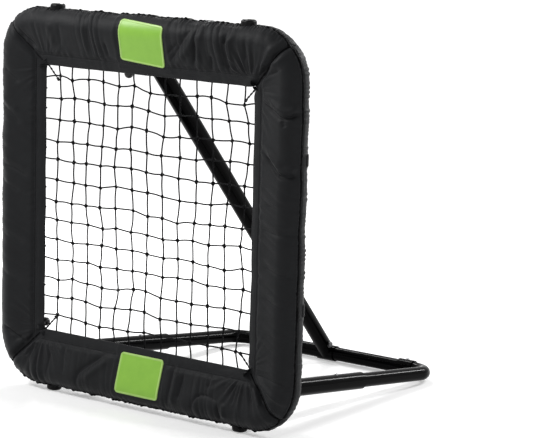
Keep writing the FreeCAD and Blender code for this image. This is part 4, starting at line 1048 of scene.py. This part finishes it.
def knot(shape, centre, rng, size, radius):
    """A small tight knot: a closed trefoil that hugs its own middle."""
    t = circle(22)
    x, y, z = np.sin(t) + 2 * np.sin(2 * t), -1.2 * np.sin(3 * t), np.cos(t) - 2 * np.cos(2 * t)
    path = size * np.stack([x, y, z], axis=1)
    shape.tube(spun(path, -rng.uniform(0, 2 * math.pi)) + centre, radius, sides=6, closed=True)


def loop_about(middle, radius, start):
    """A ring of points about a place, which starts in a direction in the panel and passes over its back."""
    t = circle(18)[:, None]
    return middle + radius * (np.cos(t) * start + np.sin(t) * Y_AXIS)


def rounded_square_path(half, radius, y, spacing):
    """A closed line round a square with rounded corners, in the plane at y."""
    points = []
    middle = half - radius
    for turn in range(4):
        side = [(-middle, y, half), (middle, y, half)]
        for angle in np.radians(90 * np.arange(1, 12) / 12):
            side.append((middle + radius * math.sin(angle), y, middle + radius * math.cos(angle)))
        points += list(turned(np.array(side), turn))
    return resample(points, spacing, closed=True)


def make_rope():
    """Three laid strands round the net's border."""
    path = rounded_square_path(NET_HALF, ROPE_CORNER, 0.0, 3.2)
    across, up = frames_along(path, True)
    turns, strand, apart = 84, 2.1, 1.9
    shape = Shape()
    for k in range(3):
        angle = (circle(len(path)) * turns + 2 * math.pi * k / 3)[:, None]
        shape.tube(path + apart * (np.cos(angle) * across + np.sin(angle) * up), strand, sides=8, closed=True)
    hand_in(shape, "net_border_rope", "net_twine", "net_rope")


# ---------------------------------------------------------------- bungees and corner ties

# the net's cells that hold a bungee on each side, and the balls that sit nearer the net than BALL_PLACE
BUNGEE_CELLS = {0: (-5, -3, -2, 1, 2, 4), 1: (-6, -5, -3, -1, 0, 2, 4, 5), 2: (-5, -3, -1, 0, 2, 4),
                3: (-7, -5, -3, -1, 0, 2, 4, 5)}
LOW_BALLS = {(0, -2): 1.6, (3, -7): 0.8}
BALL_PLACE = 0.4
BALL_RADIUS = 10
BUNGEE_RADIUS = 2
SNUG = 0.3
BUNGEE_AT_TUBE = FOAM_RADIUS + SNUG + BUNGEE_RADIUS
BUNGEE_AT_ROPE = ROPE_RADIUS + SNUG + BUNGEE_RADIUS


def around(middle, radius, degrees):
    """A place round the tube or the rope, seen along a side; 0 degrees is inwards and 90 is the back."""
    a = math.radians(degrees)
    return np.array((0.0, radius * math.sin(a), middle - radius * math.cos(a)))


def belt_lean(at_tube, at_rope):
    """Where a straight run touches the circles round the tube and the rope, in degrees."""
    return math.degrees(math.acos((at_tube - at_rope) / (TUBE_HALF - NET_HALF)))


def ball_centre(place):
    """A ball on its bungee: 0 to 1 along the straight run from tube to rope, and beyond 1 round the rope."""
    lean = belt_lean(BUNGEE_AT_TUBE, BUNGEE_AT_ROPE)
    out = BUNGEE_RADIUS + SNUG + BALL_RADIUS
    if place > 1:
        return around(NET_HALF, BUNGEE_AT_ROPE + out, lean * (2 - place))
    start = around(TUBE_HALF, BUNGEE_AT_TUBE + out, lean)
    end = around(NET_HALF, BUNGEE_AT_ROPE + out, lean)
    return start + (end - start) * place


def make_bungees():
    """Elastic loops round the padded tube and the rope, each with a ball behind."""
    rng = np.random.default_rng(SEED + 8)
    loops = Shape()
    balls = Shape()
    lean = belt_lean(BUNGEE_AT_TUBE, BUNGEE_AT_ROPE)
    outline = [around(NET_HALF, BUNGEE_AT_ROPE, d) for d in np.linspace(lean, -lean, 14)]
    outline += [around(TUBE_HALF, BUNGEE_AT_TUBE, d) for d in np.linspace(-lean, -360 + lean, 44)]
    outline = resample(outline, 4.5, closed=True)
    for turn in range(4):
        for k in BUNGEE_CELLS[turn]:
            across = (k + 0.5) * NET_PITCH * X_AXIS
            path = outline + across
            path[:, 0] += 0.8 * np.sin(circle(len(path)) + rng.uniform(0, 6))
            loops.tube(turned(path, turn), BUNGEE_RADIUS, sides=9, closed=True)
            centre = ball_centre(LOW_BALLS.get((turn, k), BALL_PLACE)) + across
            add_ball(balls, loops, turned(centre, turn), rng)
    hand_in(loops, "bungee_cords", "black_elastic", "bungee_loops")
    hand_in(balls, "bungee_ball_set", "ball_plastic", "bungee_balls")


def add_ball(balls, cords, centre, rng):
    """A ball with a moulding line and a dimple behind, where the elastic's knot sits."""
    lat = np.linspace(0.0, math.pi, 21)[:, None]
    lon = circle(28)[None]
    size = BALL_RADIUS * (1 + 0.012 * bump(lat - math.pi / 2, 0.06)) - 1.6 * bump(lat, 0.24)
    level = size * np.cos(lat) * np.ones_like(lon)
    wide = size * np.sin(lat)
    points = np.stack([wide * np.cos(lon), level, wide * np.sin(lon)], axis=-1)
    balls.grid(centre + points, close_columns=True)
    knot(cords, centre + Y_AXIS * (BALL_RADIUS - 0.6), rng, 0.75, 1.5)


def make_ties():
    """Two strands that twist from the net's corner knot to the rope, two turns round it and two knots."""
    rng = np.random.default_rng(SEED + 9)
    shape = Shape()
    nook = (NET_HALF - ROPE_CORNER + ROPE_CORNER / math.sqrt(2)) * math.sqrt(2)
    start = (NET_HALF - NET_PITCH + NET_CORD / 2) * math.sqrt(2) - 2
    run = np.linspace(start, nook - 1, 24)
    strand, apart, twist = 1.15, 1.1, 0.33
    for turn in range(4):
        spin = math.radians(45 + 90 * turn)
        for phase in (0, math.pi):
            angle = (run - start) * twist + phase
            path = np.stack([apart * np.cos(angle), apart * np.sin(angle), run], axis=1)
            shape.tube(spun(path, spin), strand, sides=7)
        for at, size in ((start + 1, 1.15), (nook - 8, 1.2)):
            knot(shape, spun(np.array((0.0, 0.0, at)), spin), rng, size, 1.5)
        for shift in (-2.0, 2.0):
            middle = spun(np.array((shift, 0.0, nook)), spin)
            outwards = spun(np.array((0.0, 0.0, 1.0)), spin)
            shape.tube(loop_about(middle, 5.8, outwards), 1.6, sides=7, closed=True)
    hand_in(shape, "net_corner_ties", "black_elastic", "corner_ties")


# ---------------------------------------------------------------- straps and drawcord

def make_straps():
    """Webbing from the cover's outer side over its back and round the border rope, with box stitching."""
    at_tube = COVER_RADIUS + 0.9
    at_rope = ROPE_RADIUS + 1.4
    lean = belt_lean(at_tube, at_rope)
    outline = [around(TUBE_HALF, at_tube, d) for d in np.linspace(165, lean, 22)]
    outline += [around(NET_HALF, at_rope, d) for d in np.linspace(lean, -lean, 16)]
    middle = resample(outline, 2.2)
    out = np.cross(unit(np.gradient(middle, axis=0)), X_AXIS)
    half, thick, soft = 12.5, STRAP_HALF_THICKNESS, 0.5
    under = np.array(((-half, soft - thick), (soft - half, -thick), (0, -thick), (half - soft, -thick),
                      (half, soft - thick)))
    edge = np.concatenate([under, -under])
    box = ((-9, 1), (9, 1), (9, 8), (-9, 8), (-9, 1))
    edges = (((u, 1), (u, len(middle) - 16)) for u in (-10.4, 10.4))
    seams = (box, (box[0], box[2]), (box[1], box[3]), *edges)
    shape = Shape()
    threads = Shape()
    for turn in range(4):
        for x in (-STRAP_X, STRAP_X):
            rows = middle[:, None] + (x + edge[None, :, :1]) * X_AXIS + out[:, None] * edge[None, :, 1:]
            ends = [gathered(row.mean(axis=1), len(edge)) for row in (rows[:1], rows[-1:])]
            shape.grid(turned(np.concatenate([ends[0], rows, ends[1]]), turn), close_columns=True)
            for seam in seams:
                stitched_line(threads, seam, middle, out, x, turn)
    hand_in(shape, "cover_webbing", "webbing", "cover_straps")
    hand_in(threads, "cover_webbing_stitching", "thread")


def stitched_line(shape, corners, middle, out, x, turn):
    """Stitches on a strap between corners given as (across, step along its middle)."""
    line, normals = [], []
    for (u0, i0), (u1, i1) in zip(corners[:-1], corners[1:]):
        for share in np.linspace(0, 1, 14):
            u, i = u0 + (u1 - u0) * share, i0 + (i1 - i0) * share
            at = int(min(max(i, 0), len(middle) - 2))
            part = i - at
            p = middle[at] * (1 - part) + middle[at + 1] * part
            sign = 1 if (out[at] @ (p - np.array((0, 0, TUBE_HALF)))) > 0 else -1
            line.append(p + (x + u) * X_AXIS + out[at] * STRAP_HALF_THICKNESS * sign)
            normals.append(out[at] * sign)
    line, normals = (turned(np.array(points), turn) for points in (line, normals))
    stitch_row(shape, line, normals, length=2.4, gap=1.0, radius=0.35)


def make_drawcord():
    """The elastic in the back edge's casing, a little uneven in thickness."""
    rng = np.random.default_rng(SEED + 12)
    radius = COVER_RADIUS - 1.5
    angle = math.radians(BACK_ANGLE - 3.1)
    up, y = -radius * math.cos(angle), radius * math.sin(angle)
    path = rounded_square_path(TUBE_HALF + up, CORNER_RADIUS + up, y, 4)
    shape = Shape()
    shape.tube(path, 1.4 + 0.05 * ripple(np.arange(len(path)) * 4.0, rng, 20, 60, 3), sides=9, closed=True)
    hand_in(shape, "cover_elastic", "black_elastic", "cover_drawcord")


# ---------------------------------------------------------------- carried-over pieces, floor and light

RIGHT_LEFT = ("right", "left")
CARRIED = {
    "frame_steel": [f"frame_tube_{side}" for side in SIDES]
    + [f"frame_corner_{edge}_{side}" for edge in ("top", "bottom") for side in RIGHT_LEFT],
    "black_steel": [f"leg_{part}_{side}" for part in ("upper", "lower") for side in RIGHT_LEFT]
    + ["crossbar", "strut_lower_tube", "strut_upper_tube", "strut_sleeve"],
    "bracket_steel": ["hinge_bracket_right", "hinge_bracket_left", "strut_bracket"],
    "zinc_steel": ["frame_screws", "foot_screws", "hinge_bolts", "hinge_nuts", "strut_bolt", "strut_nut",
                   "strut_foot_bolt", "strut_foot_nut"],
    "button_steel": [f"{part}_button_{side}" for part in ("leg", "crossbar") for side in RIGHT_LEFT]
    + ["strut_button"],
    "moulded_black": [f"foot_{edge}_{side}" for edge in ("top", "bottom") for side in RIGHT_LEFT]
    + ["leg_plug_right", "leg_plug_left", "strut_top_plug"],
}


def dress_carried():
    """Gives the CAD meshes that the scene keeps their materials."""
    for material, nodes in CARRIED.items():
        for name in nodes:
            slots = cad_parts[name].data.materials
            if len(slots) == 0:
                slots.append(MATERIALS[material])
            for i in range(len(slots)):
                slots[i] = MATERIALS[material]


def seen_as_white(owner):
    """A strength that is one for camera, glossy and transmission rays."""
    rays = node(owner, "ShaderNodeLightPath").outputs
    seen = math_of(owner, "MAXIMUM", rays["Is Camera Ray"], rays["Is Glossy Ray"])
    return math_of(owner, "MAXIMUM", seen, rays["Is Transmission Ray"])


def light_scene():
    """A plain white surround, dim for the object's own light, and five soft lamps."""
    bpy.context.scene.view_settings.view_transform = "Standard"
    world = bpy.data.worlds.new("world")
    bpy.context.scene.world = world
    world.use_nodes = True
    background = world.node_tree.nodes["Background"]
    background.inputs[0].default_value = (1, 1, 1, 1)
    spread = node(world, "ShaderNodeMapRange", {0: seen_as_white(world), 3: 0.17, 4: 1.0})
    world.node_tree.links.new(spread.outputs[0], background.inputs[1])
    for name, place, aim, size, power in (
        ("key", (-1.1, -1.3, 1.8), (0, -0.3, 0.6), (0.5, 0.5), 28),
        ("fill", (2.4, -2.2, 1.4), (0, -0.3, 0.4), (1.4, 1.4), 7),
        ("leg_strip", (0.75, 2.2, 1.7), (0.4, 0.1, 0.0), (0.14, 1.6), 46),
        ("bar_strip", (-1.3, 1.1, 1.9), (0.2, 0.45, 0.0), (0.12, 1.2), 26),
        ("side_strip", (2.9, 0.2, 1.7), (0.1, 0, 0.3), (0.04, 2.0), 10),
    ):
        data = bpy.data.lights.new(name, "AREA")
        data.shape = "RECTANGLE"
        data.size, data.size_y = size
        data.energy = power
        lamp = bpy.data.objects.new(name, data)
        bpy.context.scene.collection.objects.link(lamp)
        lamp.location = place
        lamp.visible_camera = False
        lamp.rotation_euler = (Vector(aim) - Vector(place)).to_track_quat("-Z", "Y").to_euler()


def add_floor():
    """A pale floor that takes the shadow near the object and glows white further away."""
    mesh = bpy.data.meshes.new("floor")
    mesh.from_pydata([(-14, -14, 0), (14, -14, 0), (14, 14, 0), (-14, 14, 0)], [], [(0, 1, 2, 3)])
    floor = bpy.data.objects.new("floor", mesh)
    bpy.context.scene.collection.objects.link(floor)
    material = new_material("floor", (0.88, 0.88, 0.88), 0.85, Specular_IOR_Level=0.1,
                            Emission_Color=(1, 1, 1, 1))
    where = node(material, "ShaderNodeTexCoord").outputs["Object"]
    away = node(material, "ShaderNodeVectorMath", {0: where}, operation="LENGTH").outputs["Value"]
    grow = node(material, "ShaderNodeMapRange", {0: away, 1: 0.4, 2: 1.7, 3: 0.36, 4: 1.0},
                interpolation_type="SMOOTHSTEP")
    glow = math_of(material, "MULTIPLY", seen_as_white(material), grow.outputs[0])
    shader = material.node_tree.nodes["Principled BSDF"]
    material.node_tree.links.new(glow, shader.inputs["Emission Strength"])
    mesh.materials.append(material)


add_camera()
MATERIALS = make_materials()
add_floor()
light_scene()
dress_carried()
make_foam()
for cover_turn in range(4):
    make_cover(cover_turn)
make_stitching()
make_binding_and_mitre_shade()
make_patches()
make_net()
make_rope()
make_bungees()
make_ties()
make_straps()
make_drawcord()
